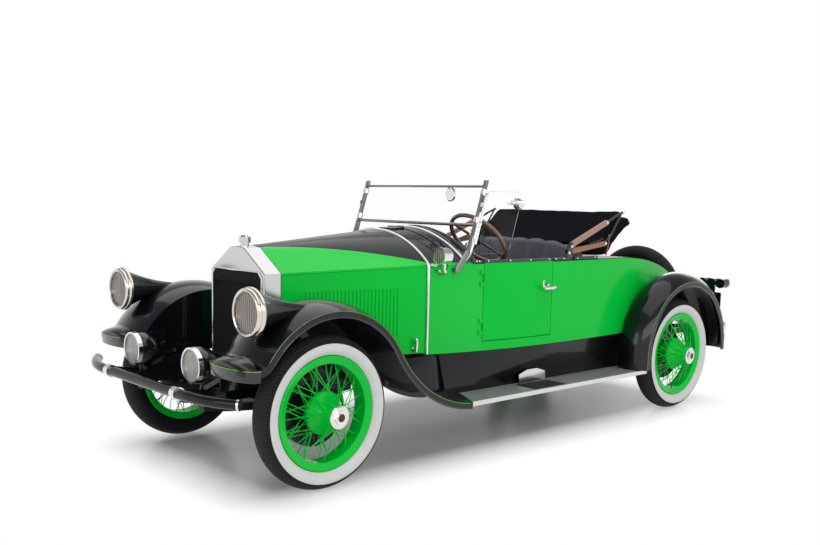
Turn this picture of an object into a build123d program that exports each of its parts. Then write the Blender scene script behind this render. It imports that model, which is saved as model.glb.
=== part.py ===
from build123d import *
from math import atan2, cos, degrees, hypot, radians, sin, sqrt
import os

# An open two-seat roadster of the 1920s, in millimetres.
# It stands on the floor at z = 0, nose towards +X, left side towards +Y,
# with the origin under the middle of its length.

# Driving dimensions
WHEELBASE = 3380
TRACK = 1480
FRONT_OVERHANG = 700
REAR_OVERHANG = 800
TYRE_RADIUS = 419
TYRE_HALF = 77
SEAT_GAP = 0.3  # between pieces that rest on each other
SHUT_GAP = 5  # round doors, lids and hood panels
PIN_GAP = 0.3  # round hinge pins and spindles

X_FRONT = (WHEELBASE + REAR_OVERHANG - FRONT_OVERHANG) / 2
X_REAR = X_FRONT - WHEELBASE
X_NOSE = X_FRONT + FRONT_OVERHANG
X_STERN = X_REAR - REAR_OVERHANG
WHEEL_Y = TRACK / 2

# Wire wheel, in its own frame: axis Y, outboard towards +Y
RIM_FLANGE = 311
RIM_BED = 292
RIM_INSIDE = 267
RIM_HALF = 60
BEAD_HALF = 50
TREAD_HALF = 54
SHOULDER_RADIUS = 401
BULGE_RADIUS = 356
SPINDLE_RADIUS = 31.7
HUB_INNER = -48
HUB_OUTER = 155
HUB_FLANGE = 120
HUB_NOSE = 60
CAP_RADIUS = 62
CAP_HEX = 40
CAP_HEIGHT = 21
SPOKE_SIZE = 5
# hub radius, place along the hub, place across the rim, spokes, wrap in degrees
SPOKE_ROWS = (
    (58, 140, 18, 20, 38),
    (105, 44, -4, 20, 30),
    (70, -41, -26, 20, 34),
)

# Frame
RAIL_Y = 350
RAIL_HALF = 30
RAIL_LOW = 460
RAIL_TOP = 600
KICK_LOW = 520
HORN_TOP = 520
HORN_REACH = 530
HORN_START = 330
RAIL_END = -2150
SPRING_THICK = 36
SPRING_WIDE = 56
BEAM_LOW = 322
BEAM_TOP = 382
BEAM_HALF = 22
BEAM_STRAIGHT = 430
AXLE_TUBE = 42
KINGPIN_Y = 590
KINGPIN_RADIUS = 14
EYE_RADIUS = 30
EYE_HALF = 35
ARM_LENGTH = 170
TIE_RADIUS = 10
TIE_EYE_HALF = 12
DRUM_RADIUS = 200
DRUM_INNER = 95
DRUM_BACK = -100
DRUM_FACE = -56
EAR_THICK = 26
EAR_CLEAR = 1
IRON_THICK = 20
ENGINE_HALF = 170
MUFFLER_RADIUS = 62
EXHAUST_Y = -200

# Radiator and hood
SHELL_FRONT = 1798
SHELL_DEEP = 109
SHELL_BACK = SHELL_FRONT - SHELL_DEEP
SHELL_HALF = 286
SHELL_SHOULDER = 1123
SHELL_KNEE = (77, 1259)
SHELL_TOP = 1268
SHELL_BORDER = 24
CORE_TOP = 1100
CORE_RECESS = 16
CORE_CORNER = 34
FAN_ROOM = 129
ENGINE_FRONT = SHELL_BACK - FAN_ROOM
HOOD_FRONT = SHELL_BACK - SHUT_GAP
HOOD_LOW = 612
HOOD_SHEET = 8
SEAM_ROD = 5
SEAM_DROP = 7
RIDGE_DROP = 4
LOUVRES = 26
LOUVRE_START = 130
LOUVRE_END = 193.5
LOUVRE_TALL = 290
LOUVRE_WIDE = 14
LOUVRE_PROUD = 7
RIDGE_ROD = 5

# Body
BODY_LOW = 600
BELT_Z = 1160
BODY_HALF = 640
WALL = 40
COWL_X = 755
COWL_HALF = 500
COWL_SHOULDER = 1155
COWL_TOP = 1352
ARCH_INSET = 3
DASH_X = 400
DASH_TOP = 1372
WIDE_X = -286
QUARTER_X = -700
COCKPIT_REAR = -780
TAIL_CORNER_X = -2080
TAIL_HALF = 421
TAIL_X = -2112
DECK_X = -1070
DECK_TAIL_Z = 983
DECK_SKIN = 25
FLOOR_THICK = 14
DOOR_FRONT = 337
DOOR_REAR = -280
DOOR_LOW = 663
HANDLE_Z = 985
LID_FRONT = -1300
LID_REAR = -1850
LID_HALF = 380
HINGE_PIN = 4
HINGE_BARREL = 6.5
HINGE_LEAF = 34
HINGE_LONG = 50
HINGE_STANDOFF = HINGE_BARREL + 1
DOOR_HINGE_Z = (730, 1040)
LID_HINGE_Y = (-240, 240)
SEAT_HALF = BODY_HALF - 2 * WALL
SEAT_SPLIT = -520

# Fenders
FENDER_OUT = 850
FENDER_IN = 440
FENDER_SKIRT = 40
FENDER_CROWN = 82
FENDER_SHEET = 6
VALANCE_LAP = 12
ARCH_RADIUS = 480
ARCH_START = 33.5
ARCH_END = 148
ARCH_X = X_FRONT - 25
ARCH_Z = 453
NOSE_RADIUS = 110
NOSE_REACH = 66
# forward of the nose's root, share of the width, share of the height, lift of the lip
NOSE_SECTIONS = (
    (0, 1, 1, 0),
    (0.62, 0.86, 0.84, 4),
    (1, 0.5, 0.5, 14),
)
LINE_LENGTH = 47
FOOT_RADIUS = 757
FOOT_TURN = 55
REAR_ARCH_RADIUS = 495
REAR_ARCH_X = X_REAR - 50
REAR_ARCH_Z = 440
REAR_FENDER_IN = BODY_HALF - 70
REAR_FENDER_SKIRTS = (40, 6)
REAR_FENDER_TAIL = 30
REAR_FENDER_CROWN = 106
BOARD_TOP = 345
BOARD_THICK = 25
BOARD_TUCK = 65
BOARD_WIDE = 240
BOARD_IN = BODY_HALF - BOARD_TUCK
BOARD_OUT = BOARD_IN + BOARD_WIDE
BOARD_REAR = -1205
BOARD_BRACKETS = (450, -250, -950)
APRON_THICK = 8

# Lamps
LAMP_X = X_FRONT + 454
LAMP_Y = 711
LAMP_Z = 976
LAMP_RADIUS = 126
DRIVING_X = X_FRONT + 545
DRIVING_Y = 338
DRIVING_Z = 666
DRIVING_RADIUS = 97
DRIVING_LENS = 86
LENS_RADIUS = 106
COWL_LAMP_X = 690
COWL_LAMP_Z = 1214
COWL_LAMP_RADIUS = 54
COWL_LAMP_HALF = 52
COWL_LAMP_DOME = 30
COWL_LAMP_FOOT = 1112

# Bumpers
BUMPER_TUBE = 28
BUMPER_Z = 542
CLAMP_WALL = 7
CLAMP_WIDE = 48
REAR_BAR_Z = (500, 585)
REAR_BAR_TALL = 50
REAR_BAR_THICK = 12
REAR_BAR_STRAIGHT = 560
REAR_BAR_SWEEP = 118
BUMPER_STRAIGHT = 440
BUMPER_END_Y = 800
BUMPER_SWEEP = 108

# Screen, as (x, z)
SCREEN_MID = (413, 1398)
SCREEN_RAIL = (338, 1640)
SCREEN_TOP = (326, 1678)
POST_WIDE = 22
POST_FOOT_X = 545
POST_FOOT_Z = 1112
DASH_THICK = 25
PANE_SIDE_Z = 1192
PANE_MID_Z = 1374
WING_BELOW = 180
WING_EDGE = 12
WING_TALL = 400
WING_CLIPS = (70, 300)

# Folded top, its profile and bows as (x, z)
TOP_HALF = BODY_HALF - 35
TOP_PROFILE = (
    (-790, BELT_Z + SEAT_GAP), (-830, 1290), (-1070, 1488), (-1110, 1505), (-1240, 1430), (-1250, 1400),
    (-1010, 1235), (-945, BELT_Z + SEAT_GAP),
)
BOWS = (((-452, 1212), (-885, 1266)), ((-490, 1256), (-896, 1415)))
BOW_HALF = 17
BOW_WIDE = 22

# Spare wheel and tail lamps
SPARE_X = -2235
SPARE_Z = 776
CARRIER_THICK = 28
TAIL_LAMP_X = -2320
TAIL_LAMP_Z = 925
TAIL_LAMP_Y = (585, 665, 745)
TAIL_LAMP_RADIUS = 38
TAIL_ARM_Z = 545

# Steering
STEER_AT = Vector(130, 330, 1300)
STEER_DIR = Vector(0.743, 0, -0.669).normalized()
STEER_RADIUS = 208
STEER_RIM = 14
COLUMN_RADIUS = 22


def side_plane(y):
    """The plane of a side profile, drawn in (x, z), whose normal points to the right."""
    return Plane(origin=(0, y, 0), x_dir=(1, 0, 0), z_dir=(0, -1, 0))


def cross_plane(x):
    """The plane of a cross-section, drawn in (y, z), whose normal points forward."""
    return Plane(origin=(x, 0, 0), x_dir=(0, 1, 0), z_dir=(1, 0, 0))


def polygon(*points):
    """A closed face through corner points."""
    Polygon(*points, align=None)


def save(piece, name):
    """Label a finished piece and write it."""
    piece.label = name
    export_step(piece, f"parts/{name}.step")


def both_sides(builder):
    """Add the mirror image of a left-hand piece across the middle plane."""
    mirror(builder.part, about=Plane.XZ)


def half_width(x, inset=0):
    """Half the body's width at a station, from the two arcs of its plan."""
    if x >= WIDE_X:
        run, rise = COWL_X - WIDE_X, BODY_HALF - COWL_HALF
        back = x - WIDE_X
    elif x <= QUARTER_X:
        run, rise = QUARTER_X - TAIL_CORNER_X, BODY_HALF - TAIL_HALF
        back = QUARTER_X - x
    else:
        return BODY_HALF - inset
    radius = (run**2 + rise**2) / (2 * rise)
    return BODY_HALF - inset - radius + sqrt(radius**2 - back**2)


def body_plan(inset):
    """The body's closed plan, drawn inside a sketch, set in by a wall."""
    front = (COWL_X, COWL_HALF - inset)
    wide = (WIDE_X, BODY_HALF - inset)
    quarter = (QUARTER_X, BODY_HALF - inset)
    corner = (TAIL_CORNER_X, TAIL_HALF - inset)
    with BuildLine() as outline:
        TangentArc(wide, front, tangent=(1, 0))
        Line(wide, quarter)
        TangentArc(quarter, corner, tangent=(-1, 0))
        Line(corner, (TAIL_X + inset, TAIL_HALF - inset - 60))
        Line((TAIL_X + inset, TAIL_HALF - inset - 60), (TAIL_X + inset, 0))
        Line((TAIL_X + inset, 0), (COWL_X, 0))
        Line((COWL_X, 0), front)
    make_face(outline.edges())
    mirror(about=Plane.XZ)


def above_deck(drop):
    """The side profile of all that is above the deck, lowered by a skin."""
    start = (DECK_X, BELT_Z - drop)
    end = (TAIL_CORNER_X, DECK_TAIL_Z - drop)
    high = BELT_Z + 300
    with BuildLine() as outline:
        TangentArc(start, end, tangent=(-1, 0))
        Polyline(end, (TAIL_X - 100, DECK_TAIL_Z - drop), (TAIL_X - 100, high), (COCKPIT_REAR + WALL, high))
        Polyline((COCKPIT_REAR + WALL, high), (COCKPIT_REAR + WALL, BELT_Z - drop), start)
    make_face(outline.edges())


def arch_band(shoulder, knee, top, sheet, middle):
    """Half a hood or cowl arch as a closed band: facet below the knee, arc above it."""
    (sy, sz), (ky, kz) = shoulder, knee
    radius = ((ky - middle) ** 2 + (top - kz) ** 2) / (2 * (top - kz))
    half = (ky + middle) / 2
    crown = top - radius + sqrt(radius**2 - (half - middle) ** 2)
    facet = hypot(sy - ky, kz - sz)
    ny, nz = (kz - sz) / facet * sheet, (sy - ky) / facet * sheet
    with BuildLine() as outline:
        Line((sy, sz), (ky, kz))
        ThreePointArc((ky, kz), (half, crown), (middle, top))
        Line((middle, top), (middle, top - sheet))
        ThreePointArc((middle, top - sheet), (half, crown - sheet), (ky - ny, kz - nz))
        Line((ky - ny, kz - nz), (sy - ny, sz - nz))
        Line((sy - ny, sz - nz), (sy, sz))
    make_face(outline.edges())


def hinge_leaf(reach, deep):
    """One hinge knuckle with its leaf, drawn round the pin in a sketch."""
    Circle(HINGE_BARREL)
    with Locations((reach / 2, -deep / 2)):
        Rectangle(abs(reach), deep)


def dome(tip, depth, radius):
    """The edge of a dome round a lamp's axis: its tip, its depth behind that and its radius."""
    ball = (radius**2 + depth**2) / (2 * depth)
    half_way = tip - ball + (1 if depth > 0 else -1) * sqrt(ball**2 - (radius / 2) ** 2)
    ThreePointArc((tip - depth, radius), (half_way, radius / 2), (tip, 0))


def fender_band(inner, outer, skirts, crown, sheet):
    """A fender's cross-section: outer and inner skirts under a crowned top, open below."""
    skirt, inner_skirt = skirts
    middle = (inner + outer) / 2
    with BuildLine() as outline:
        Polyline((-outer, 0), (-outer, skirt))
        ThreePointArc((-outer, skirt), (-middle, crown), (-inner, inner_skirt))
        Polyline((-inner, inner_skirt), (-inner, 0), (-inner - sheet, 0), (-inner - sheet, inner_skirt))
        ThreePointArc((-inner - sheet, inner_skirt), (-middle, crown - sheet), (-outer + sheet, skirt))
        Polyline((-outer + sheet, skirt), (-outer + sheet, 0), (-outer, 0))
    make_face(outline.edges())


def fender_block(middle, half, skirt, crown, low):
    """A filled fender section, for the closed nose."""
    with BuildLine() as outline:
        Polyline(
            (middle - half, low + skirt), (middle - half, low), (middle + half, low),
            (middle + half, low + skirt),
        )
        ThreePointArc((middle + half, low + skirt), (middle, low + crown), (middle - half, low + skirt))
    make_face(outline.edges())


os.makedirs("parts", exist_ok=True)

# Tyre
with BuildPart() as tyre:
    with BuildSketch(Plane.XY):
        with BuildLine():
            foot_y = BEAD_HALF - SEAT_GAP
            bead_in, bead_out = (RIM_FLANGE + 1, -foot_y), (RIM_FLANGE + 1, foot_y)
            shoulder_in, shoulder_out = (SHOULDER_RADIUS, -TREAD_HALF), (SHOULDER_RADIUS, TREAD_HALF)
            Polyline(bead_in, (RIM_BED + SEAT_GAP, -foot_y), (RIM_BED + SEAT_GAP, foot_y), bead_out)
            ThreePointArc(bead_out, (BULGE_RADIUS, TYRE_HALF), shoulder_out)
            ThreePointArc(shoulder_out, (TYRE_RADIUS, 0), shoulder_in)
            ThreePointArc(shoulder_in, (BULGE_RADIUS, -TYRE_HALF), bead_in)
        make_face()
    revolve(axis=Axis.Y)

# Wire wheel: rim, hub and three crossed rows of spokes, with the hub cap as a second solid
with BuildPart() as wire_wheel:
    with BuildSketch(Plane.XY):
        polygon(
            (RIM_FLANGE, RIM_HALF - 4), (RIM_FLANGE, BEAD_HALF), (RIM_BED, BEAD_HALF),
            (RIM_BED, -BEAD_HALF), (RIM_FLANGE, -BEAD_HALF), (RIM_FLANGE, 4 - RIM_HALF),
            (RIM_FLANGE - 8, -RIM_HALF), (RIM_INSIDE, -RIM_HALF + 14), (RIM_INSIDE, RIM_HALF - 14),
            (RIM_FLANGE - 8, RIM_HALF),
        )
        with BuildLine():
            bore = SPINDLE_RADIUS + PIN_GAP
            Polyline((bore, HUB_OUTER), (bore, HUB_INNER), (82, HUB_INNER))
            Polyline((82, HUB_INNER), (82, HUB_INNER + 14), (64, -20), (64, 8))
            Polyline((64, 8), (HUB_FLANGE - 6, 14), (HUB_FLANGE, 22), (HUB_FLANGE - 4, 36))
            ThreePointArc((HUB_FLANGE - 4, 36), (80, 84), (HUB_NOSE, HUB_OUTER - 6))
            Polyline((HUB_NOSE, HUB_OUTER - 6), (HUB_NOSE - 4, HUB_OUTER), (bore, HUB_OUTER))
        make_face()
    revolve(axis=Axis.Y)
    spokes = []
    for hub_radius, hub_y, rim_y, count, wrap in SPOKE_ROWS:
        for k in range(count):
            turn = radians(360 / count * k)
            lean = radians(wrap if k % 2 else -wrap)
            start = Vector(hub_radius * cos(turn), hub_y, hub_radius * sin(turn))
            rim_reach = RIM_INSIDE + SPOKE_SIZE
            across = rim_y + (2 if k % 2 else -2)
            end = Vector(rim_reach * cos(turn + lean), across, rim_reach * sin(turn + lean))
            with BuildSketch(Plane(origin=start, z_dir=end - start), mode=Mode.PRIVATE) as spoke:
                RegularPolygon(SPOKE_SIZE * 0.62, 3)
            spokes.append(extrude(spoke.sketch, amount=(end - start).length, mode=Mode.PRIVATE))
    add(spokes)

with BuildPart() as hub_cap:
    cap_seat = HUB_OUTER + SEAT_GAP
    with BuildSketch(Plane.XY):
        polygon(
            (0, cap_seat), (CAP_RADIUS, cap_seat), (CAP_RADIUS, cap_seat + 5),
            (CAP_RADIUS - 8, cap_seat + 9), (0, cap_seat + 9),
        )
    revolve(axis=Axis.Y)
    with BuildSketch(Plane(origin=(0, cap_seat + 9, 0), x_dir=(1, 0, 0), z_dir=(0, 1, 0))):
        RegularPolygon(CAP_HEX, 6)
    extrude(amount=CAP_HEIGHT - 13)
    with BuildSketch(Plane(origin=(0, cap_seat + 9, 0), x_dir=(1, 0, 0), z_dir=(0, 1, 0))):
        Circle(CAP_HEX * 0.6)
    extrude(amount=CAP_HEIGHT - 9)

# name, axle station, side of the car
CORNERS = (
    ("front_left", X_FRONT, 1),
    ("front_right", X_FRONT, -1),
    ("rear_left", X_REAR, 1),
    ("rear_right", X_REAR, -1),
)
for corner, axle_x, side in CORNERS:
    place = Location((axle_x, side * WHEEL_Y, TYRE_RADIUS), (0, 0, 0 if side > 0 else 180))
    save(tyre.part.moved(place), f"tyre_{corner}")
    save(Compound(children=[wire_wheel.part.moved(place), hub_cap.part.moved(place)]), f"wheel_{corner}")

# Frame: two channel rails with a kick over the rear axle, cross-members and bumper irons
BUMPER_X = X_NOSE - BUMPER_TUBE - SEAT_GAP - CLAMP_WALL
IRON_Y = RAIL_Y + RAIL_HALF
REAR_BAR_X = X_STERN + REAR_BAR_THICK / 2
# station, half length, lower edge
CROSS_MEMBERS = (
    (X_FRONT, 45, 500),
    (300, 40, 530),
    (-900, 40, 530),
    (RAIL_END + 20, 20, KICK_LOW),
)
with BuildPart() as frame:
    with BuildSketch(side_plane(RAIL_Y)):
        polygon(
            (X_FRONT + HORN_REACH, RAIL_LOW), (X_FRONT + HORN_REACH, HORN_TOP),
            (X_FRONT + HORN_START, RAIL_TOP),
            (RAIL_END, RAIL_TOP), (RAIL_END, KICK_LOW), (X_REAR + 620, KICK_LOW), (X_REAR + 760, RAIL_LOW),
        )
    extrude(amount=RAIL_HALF, both=True)
    with BuildSketch(side_plane(IRON_Y)):
        front_end = BUMPER_X - BUMPER_TUBE - CLAMP_WALL - 2 * SEAT_GAP
        iron_start = X_FRONT + HORN_START + 50
        polygon(
            (iron_start, RAIL_LOW + 20), (front_end, BUMPER_Z - 22),
            (front_end, BUMPER_Z + 22), (iron_start, HORN_TOP),
        )
    extrude(amount=-IRON_THICK)
    with BuildSketch(side_plane(RAIL_Y)):
        back_end = X_STERN + 2 * REAR_BAR_THICK + SEAT_GAP
        polygon(
            (RAIL_END + 60, KICK_LOW), (RAIL_END, KICK_LOW), (RAIL_END - 40, 492), (back_end, 492),
            (back_end, 470), (RAIL_END - 50, 470), (RAIL_END + 60, 500),
        )
    extrude(amount=14, both=True)
    both_sides(frame)
    for x, half, low in CROSS_MEMBERS:
        with BuildSketch(cross_plane(x - half)):
            polygon((-RAIL_Y, low), (RAIL_Y, low), (RAIL_Y, RAIL_TOP), (-RAIL_Y, RAIL_TOP))
        extrude(amount=2 * half)
save(frame.part, "frame")

# Front axle: a dropped beam with an eye at each end for the kingpin
with BuildPart() as front_axle:
    with BuildSketch(cross_plane(X_FRONT)):
        polygon(
            (0, BEAM_LOW), (BEAM_STRAIGHT, BEAM_LOW), (KINGPIN_Y - 45, TYRE_RADIUS - EYE_HALF),
            (KINGPIN_Y, TYRE_RADIUS - EYE_HALF), (KINGPIN_Y, TYRE_RADIUS + EYE_HALF),
            (KINGPIN_Y - 45, TYRE_RADIUS + EYE_HALF), (BEAM_STRAIGHT, BEAM_TOP), (0, BEAM_TOP),
        )
    extrude(amount=BEAM_HALF, both=True)
    with BuildSketch(Plane.XY.offset(TYRE_RADIUS - EYE_HALF)):
        with Locations((X_FRONT, KINGPIN_Y)):
            Circle(EYE_RADIUS)
    extrude(amount=2 * EYE_HALF)
    with BuildSketch(Plane.XY.offset(TYRE_RADIUS - EYE_HALF)):
        with Locations((X_FRONT, KINGPIN_Y)):
            Circle(KINGPIN_RADIUS + PIN_GAP)
    extrude(amount=2 * EYE_HALF, mode=Mode.SUBTRACT)
    both_sides(front_axle)
save(front_axle.part, "front_axle")

# Rear axle: tubes, differential housing, brake drums, spindles and the torque tube
with BuildPart() as rear_axle:
    with BuildSketch(Plane(origin=(X_REAR, 0, TYRE_RADIUS), x_dir=(0, 1, 0), z_dir=(0, 0, 1))):
        with BuildLine():
            hub_end, drum_back, drum_face = WHEEL_Y + HUB_OUTER - 5, WHEEL_Y + DRUM_BACK, WHEEL_Y + DRUM_FACE
            Polyline((0, 0), (hub_end, 0), (hub_end, SPINDLE_RADIUS), (drum_back, SPINDLE_RADIUS))
            Polyline((drum_back, SPINDLE_RADIUS), (drum_back, AXLE_TUBE), (150, AXLE_TUBE))
            ThreePointArc((150, AXLE_TUBE), (105, 105), (0, 150))
            Line((0, 150), (0, 0))
        make_face()
        polygon(
            (drum_back, AXLE_TUBE - 12), (drum_back, DRUM_RADIUS), (drum_face, DRUM_RADIUS),
            (drum_face, DRUM_INNER), (drum_back + 14, DRUM_INNER), (drum_back + 14, SPINDLE_RADIUS - 5),
        )
    revolve(axis=Axis((X_REAR, 0, TYRE_RADIUS), (0, 1, 0)))
    both_sides(rear_axle)
    with BuildSketch(cross_plane(X_REAR)):
        with Locations((0, TYRE_RADIUS)):
            Circle(AXLE_TUBE)
    extrude(amount=1900)
save(rear_axle.part, "rear_axle")

# Leaf springs: station, half length, underside at the axle, underside of the rail above its ends
SPRING_ROWS = (
    (X_FRONT, 500, BEAM_TOP + SEAT_GAP, RAIL_LOW),
    (X_REAR, 440, TYRE_RADIUS + AXLE_TUBE + SEAT_GAP, KICK_LOW),
)
with BuildPart() as leaf_springs:
    for x, half, low, rail in SPRING_ROWS:
        end_z = rail - SEAT_GAP - SPRING_THICK
        with BuildSketch(side_plane(RAIL_Y)):
            with BuildLine():
                front, back = (x + half, end_z), (x - half, end_z)
                ThreePointArc(front, (x, low), back)
                Line(back, (back[0], end_z + SPRING_THICK))
                top_z = end_z + SPRING_THICK
                ThreePointArc((back[0], top_z), (x, low + SPRING_THICK), (front[0], top_z))
                Line((front[0], top_z), front)
            make_face()
        extrude(amount=SPRING_WIDE / 2, both=True)
    both_sides(leaf_springs)
save(leaf_springs.part, "leaf_springs")

# Knuckles: kingpin, two ears, drum with backing plate, spindle, steering arm
TIE_Z = TYRE_RADIUS - EYE_HALF - EAR_CLEAR - EAR_THICK - 14
with BuildPart() as knuckle:
    with BuildSketch(Plane.XY.offset(TYRE_RADIUS - EYE_HALF - EAR_CLEAR - EAR_THICK)):
        with Locations((X_FRONT, KINGPIN_Y)):
            Circle(KINGPIN_RADIUS)
    extrude(amount=2 * (EYE_HALF + EAR_CLEAR + EAR_THICK))
    ear_low = TYRE_RADIUS - EYE_HALF - EAR_CLEAR - EAR_THICK
    for low in (ear_low, TYRE_RADIUS + EYE_HALF + EAR_CLEAR):
        with BuildSketch(Plane.XY.offset(low)):
            with Locations((X_FRONT, KINGPIN_Y)):
                Circle(EYE_RADIUS)
            reach = WHEEL_Y + DRUM_BACK + 6 - KINGPIN_Y
            with Locations((X_FRONT, KINGPIN_Y + reach / 2)):
                Rectangle(2 * EYE_RADIUS, reach)
        extrude(amount=EAR_THICK)
    with BuildSketch(Plane.XY.offset(ear_low)):
        with Locations((X_FRONT - ARM_LENGTH / 2, KINGPIN_Y)):
            SlotCenterToCenter(ARM_LENGTH, 32)
    extrude(amount=EAR_THICK)
    with BuildSketch(Plane.XY.offset(TIE_Z - 12)):
        with Locations((X_FRONT - ARM_LENGTH, KINGPIN_Y)):
            Circle(8)
    extrude(amount=ear_low - TIE_Z + 12)
    with BuildSketch(Plane(origin=(X_FRONT, 0, TYRE_RADIUS), x_dir=(0, 1, 0), z_dir=(0, 0, 1))):
        polygon(
            (drum_back, 0), (drum_back, DRUM_RADIUS), (drum_face, DRUM_RADIUS), (drum_face, DRUM_INNER),
            (drum_back + 14, DRUM_INNER), (drum_back + 14, SPINDLE_RADIUS),
            (hub_end, SPINDLE_RADIUS), (hub_end, 0),
        )
    revolve(axis=Axis((X_FRONT, 0, TYRE_RADIUS), (0, 1, 0)))
save(knuckle.part, "knuckle_left")
save(mirror(knuckle.part, about=Plane.XZ), "knuckle_right")

# Tie rod between the two steering arms
with BuildPart() as tie_rod:
    with BuildSketch(Plane(origin=(X_FRONT - ARM_LENGTH, 0, TIE_Z), x_dir=(1, 0, 0), z_dir=(0, 1, 0))):
        Circle(TIE_RADIUS)
    extrude(amount=KINGPIN_Y - 12, both=True)
    with BuildSketch(Plane.XY.offset(TIE_Z - TIE_EYE_HALF)):
        with Locations((X_FRONT - ARM_LENGTH, KINGPIN_Y), (X_FRONT - ARM_LENGTH, -KINGPIN_Y)):
            Circle(20)
    extrude(amount=2 * TIE_EYE_HALF)
    with BuildSketch(Plane.XY.offset(TIE_Z - TIE_EYE_HALF)):
        with Locations((X_FRONT - ARM_LENGTH, KINGPIN_Y), (X_FRONT - ARM_LENGTH, -KINGPIN_Y)):
            Circle(8 + PIN_GAP)
    extrude(amount=2 * TIE_EYE_HALF, mode=Mode.SUBTRACT)
save(tie_rod.part, "tie_rod")

# Engine and gearbox, one plain block on arms to the rails
with BuildPart() as engine:
    with BuildSketch(side_plane(0)):
        polygon(
            (ENGINE_FRONT, 470), (ENGINE_FRONT, 1000), (ENGINE_FRONT - 80, 1030), (960, 1030), (900, 990),
            (900, 470),
        )
    extrude(amount=ENGINE_HALF, both=True)
    with BuildSketch(side_plane(0)):
        polygon((920, 420), (920, 590), (500, 560), (480, 520), (480, 400))
    extrude(amount=110, both=True)
    for x in (ENGINE_FRONT - 140, 1000):
        with BuildSketch(cross_plane(x)):
            rail_face = RAIL_Y - RAIL_HALF - SEAT_GAP
            polygon((-rail_face, 540), (rail_face, 540), (rail_face, 585), (-rail_face, 585))
        extrude(amount=50)
    with BuildSketch(cross_plane(300)):
        with Locations((0, TYRE_RADIUS)):
            Circle(AXLE_TUBE + 14)
    extrude(amount=190)
    with BuildSketch(cross_plane(250)):
        with Locations((0, TYRE_RADIUS)):
            Circle(AXLE_TUBE + SEAT_GAP)
    extrude(amount=200, mode=Mode.SUBTRACT)
save(engine.part, "engine")

# Exhaust: a pipe and a muffler hung under the cross-members
EXHAUST_Z = 530 - SEAT_GAP - MUFFLER_RADIUS
with BuildPart() as exhaust:
    with BuildSketch(cross_plane(-1000)):
        with Locations((EXHAUST_Y, EXHAUST_Z)):
            Circle(MUFFLER_RADIUS)
    extrude(amount=560)
    with BuildSketch(cross_plane(-1180)):
        with Locations((EXHAUST_Y, EXHAUST_Z)):
            Circle(24)
    extrude(amount=2060)
save(exhaust.part, "exhaust")

# Fuel tank between the rails
with BuildPart() as fuel_tank:
    with BuildSketch(cross_plane(RAIL_END + 40 + SEAT_GAP)):
        with Locations((0, 500)):
            RectangleRounded(2 * (RAIL_Y - RAIL_HALF - SEAT_GAP), 180, 60)
    extrude(amount=250)
save(fuel_tank.part, "fuel_tank")


def shell_outline(grow):
    """The radiator's octagon-topped outline, drawn in (y, z)."""
    knee_y, knee_z = SHELL_KNEE
    polygon(
        (-SHELL_HALF - grow, RAIL_TOP + SEAT_GAP), (SHELL_HALF + grow, RAIL_TOP + SEAT_GAP),
        (SHELL_HALF + grow, SHELL_SHOULDER), (knee_y + grow, knee_z), (0, SHELL_TOP),
        (-knee_y - grow, knee_z),
        (-SHELL_HALF - grow, SHELL_SHOULDER),
    )


def core_outline(inset):
    """The opening in the radiator shell, with cut corners at its top."""
    half = SHELL_HALF - SHELL_BORDER - inset
    low = RAIL_TOP + SHELL_BORDER + inset
    top = CORE_TOP - inset
    cut = CORE_CORNER
    polygon(
        (-half, low), (half, low), (half, top - cut), (half - cut, top), (cut - half, top),
        (-half, top - cut),
    )


# Radiator shell with its plain filler cap
CAP_X = (SHELL_FRONT + SHELL_BACK) / 2
with BuildPart() as radiator_shell:
    with BuildSketch(cross_plane(SHELL_BACK)):
        shell_outline(0)
    extrude(amount=SHELL_FRONT - SHELL_BACK)
    fillet(radiator_shell.faces().sort_by(Axis.X)[-1].edges(), radius=9)
    with BuildSketch(cross_plane(SHELL_BACK)):
        core_outline(0)
    extrude(amount=SHELL_FRONT - SHELL_BACK, mode=Mode.SUBTRACT)
    with BuildSketch(Plane.XY.offset(SHELL_TOP - 20)):
        with Locations((CAP_X, 0)):
            Circle(26)
    extrude(amount=36)
    with BuildSketch(Plane.XY.offset(SHELL_TOP + 16)):
        with Locations((CAP_X, 0)):
            RegularPolygon(36, 8)
    extrude(amount=34)
    with BuildSketch(Plane.XY.offset(SHELL_TOP + 50)):
        with Locations((CAP_X, 0)):
            Circle(28)
    extrude(amount=10, taper=25)
save(radiator_shell.part, "radiator_shell")

with BuildPart() as radiator_core:
    with BuildSketch(cross_plane(SHELL_BACK)):
        core_outline(SEAT_GAP)
    extrude(amount=SHELL_FRONT - SHELL_BACK - CORE_RECESS)
save(radiator_core.part, "radiator_core")

# Hood: left and right top panels hinged on the ridge, side panels hinged on the shoulders
HOOD_REAR = COWL_X + SHUT_GAP
HOOD_KNEE_REAR = (COWL_HALF - 12, COWL_SHOULDER + 13)
HOOD_EDGE = RIDGE_ROD + SEAT_GAP
with BuildPart() as hood_top:
    with BuildSketch(cross_plane(HOOD_FRONT)):
        arch_band((SHELL_HALF, SHELL_SHOULDER), SHELL_KNEE, SHELL_TOP, HOOD_SHEET, HOOD_EDGE)
    with BuildSketch(cross_plane(HOOD_REAR)):
        arch_band((COWL_HALF, COWL_SHOULDER), HOOD_KNEE_REAR, COWL_TOP, HOOD_SHEET, HOOD_EDGE)
    loft()
    seam_front = Vector(HOOD_FRONT, SHELL_HALF - HOOD_SHEET / 2, SHELL_SHOULDER - SEAM_DROP)
    seam_rear = Vector(HOOD_REAR, COWL_HALF - HOOD_SHEET / 2, COWL_SHOULDER - SEAM_DROP)
    with BuildSketch(Plane(origin=seam_front, z_dir=seam_rear - seam_front)):
        Circle(SEAM_ROD)
    extrude(amount=(seam_rear - seam_front).length)
save(hood_top.part, "hood_top_left")
save(mirror(hood_top.part, about=Plane.XZ), "hood_top_right")

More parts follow.
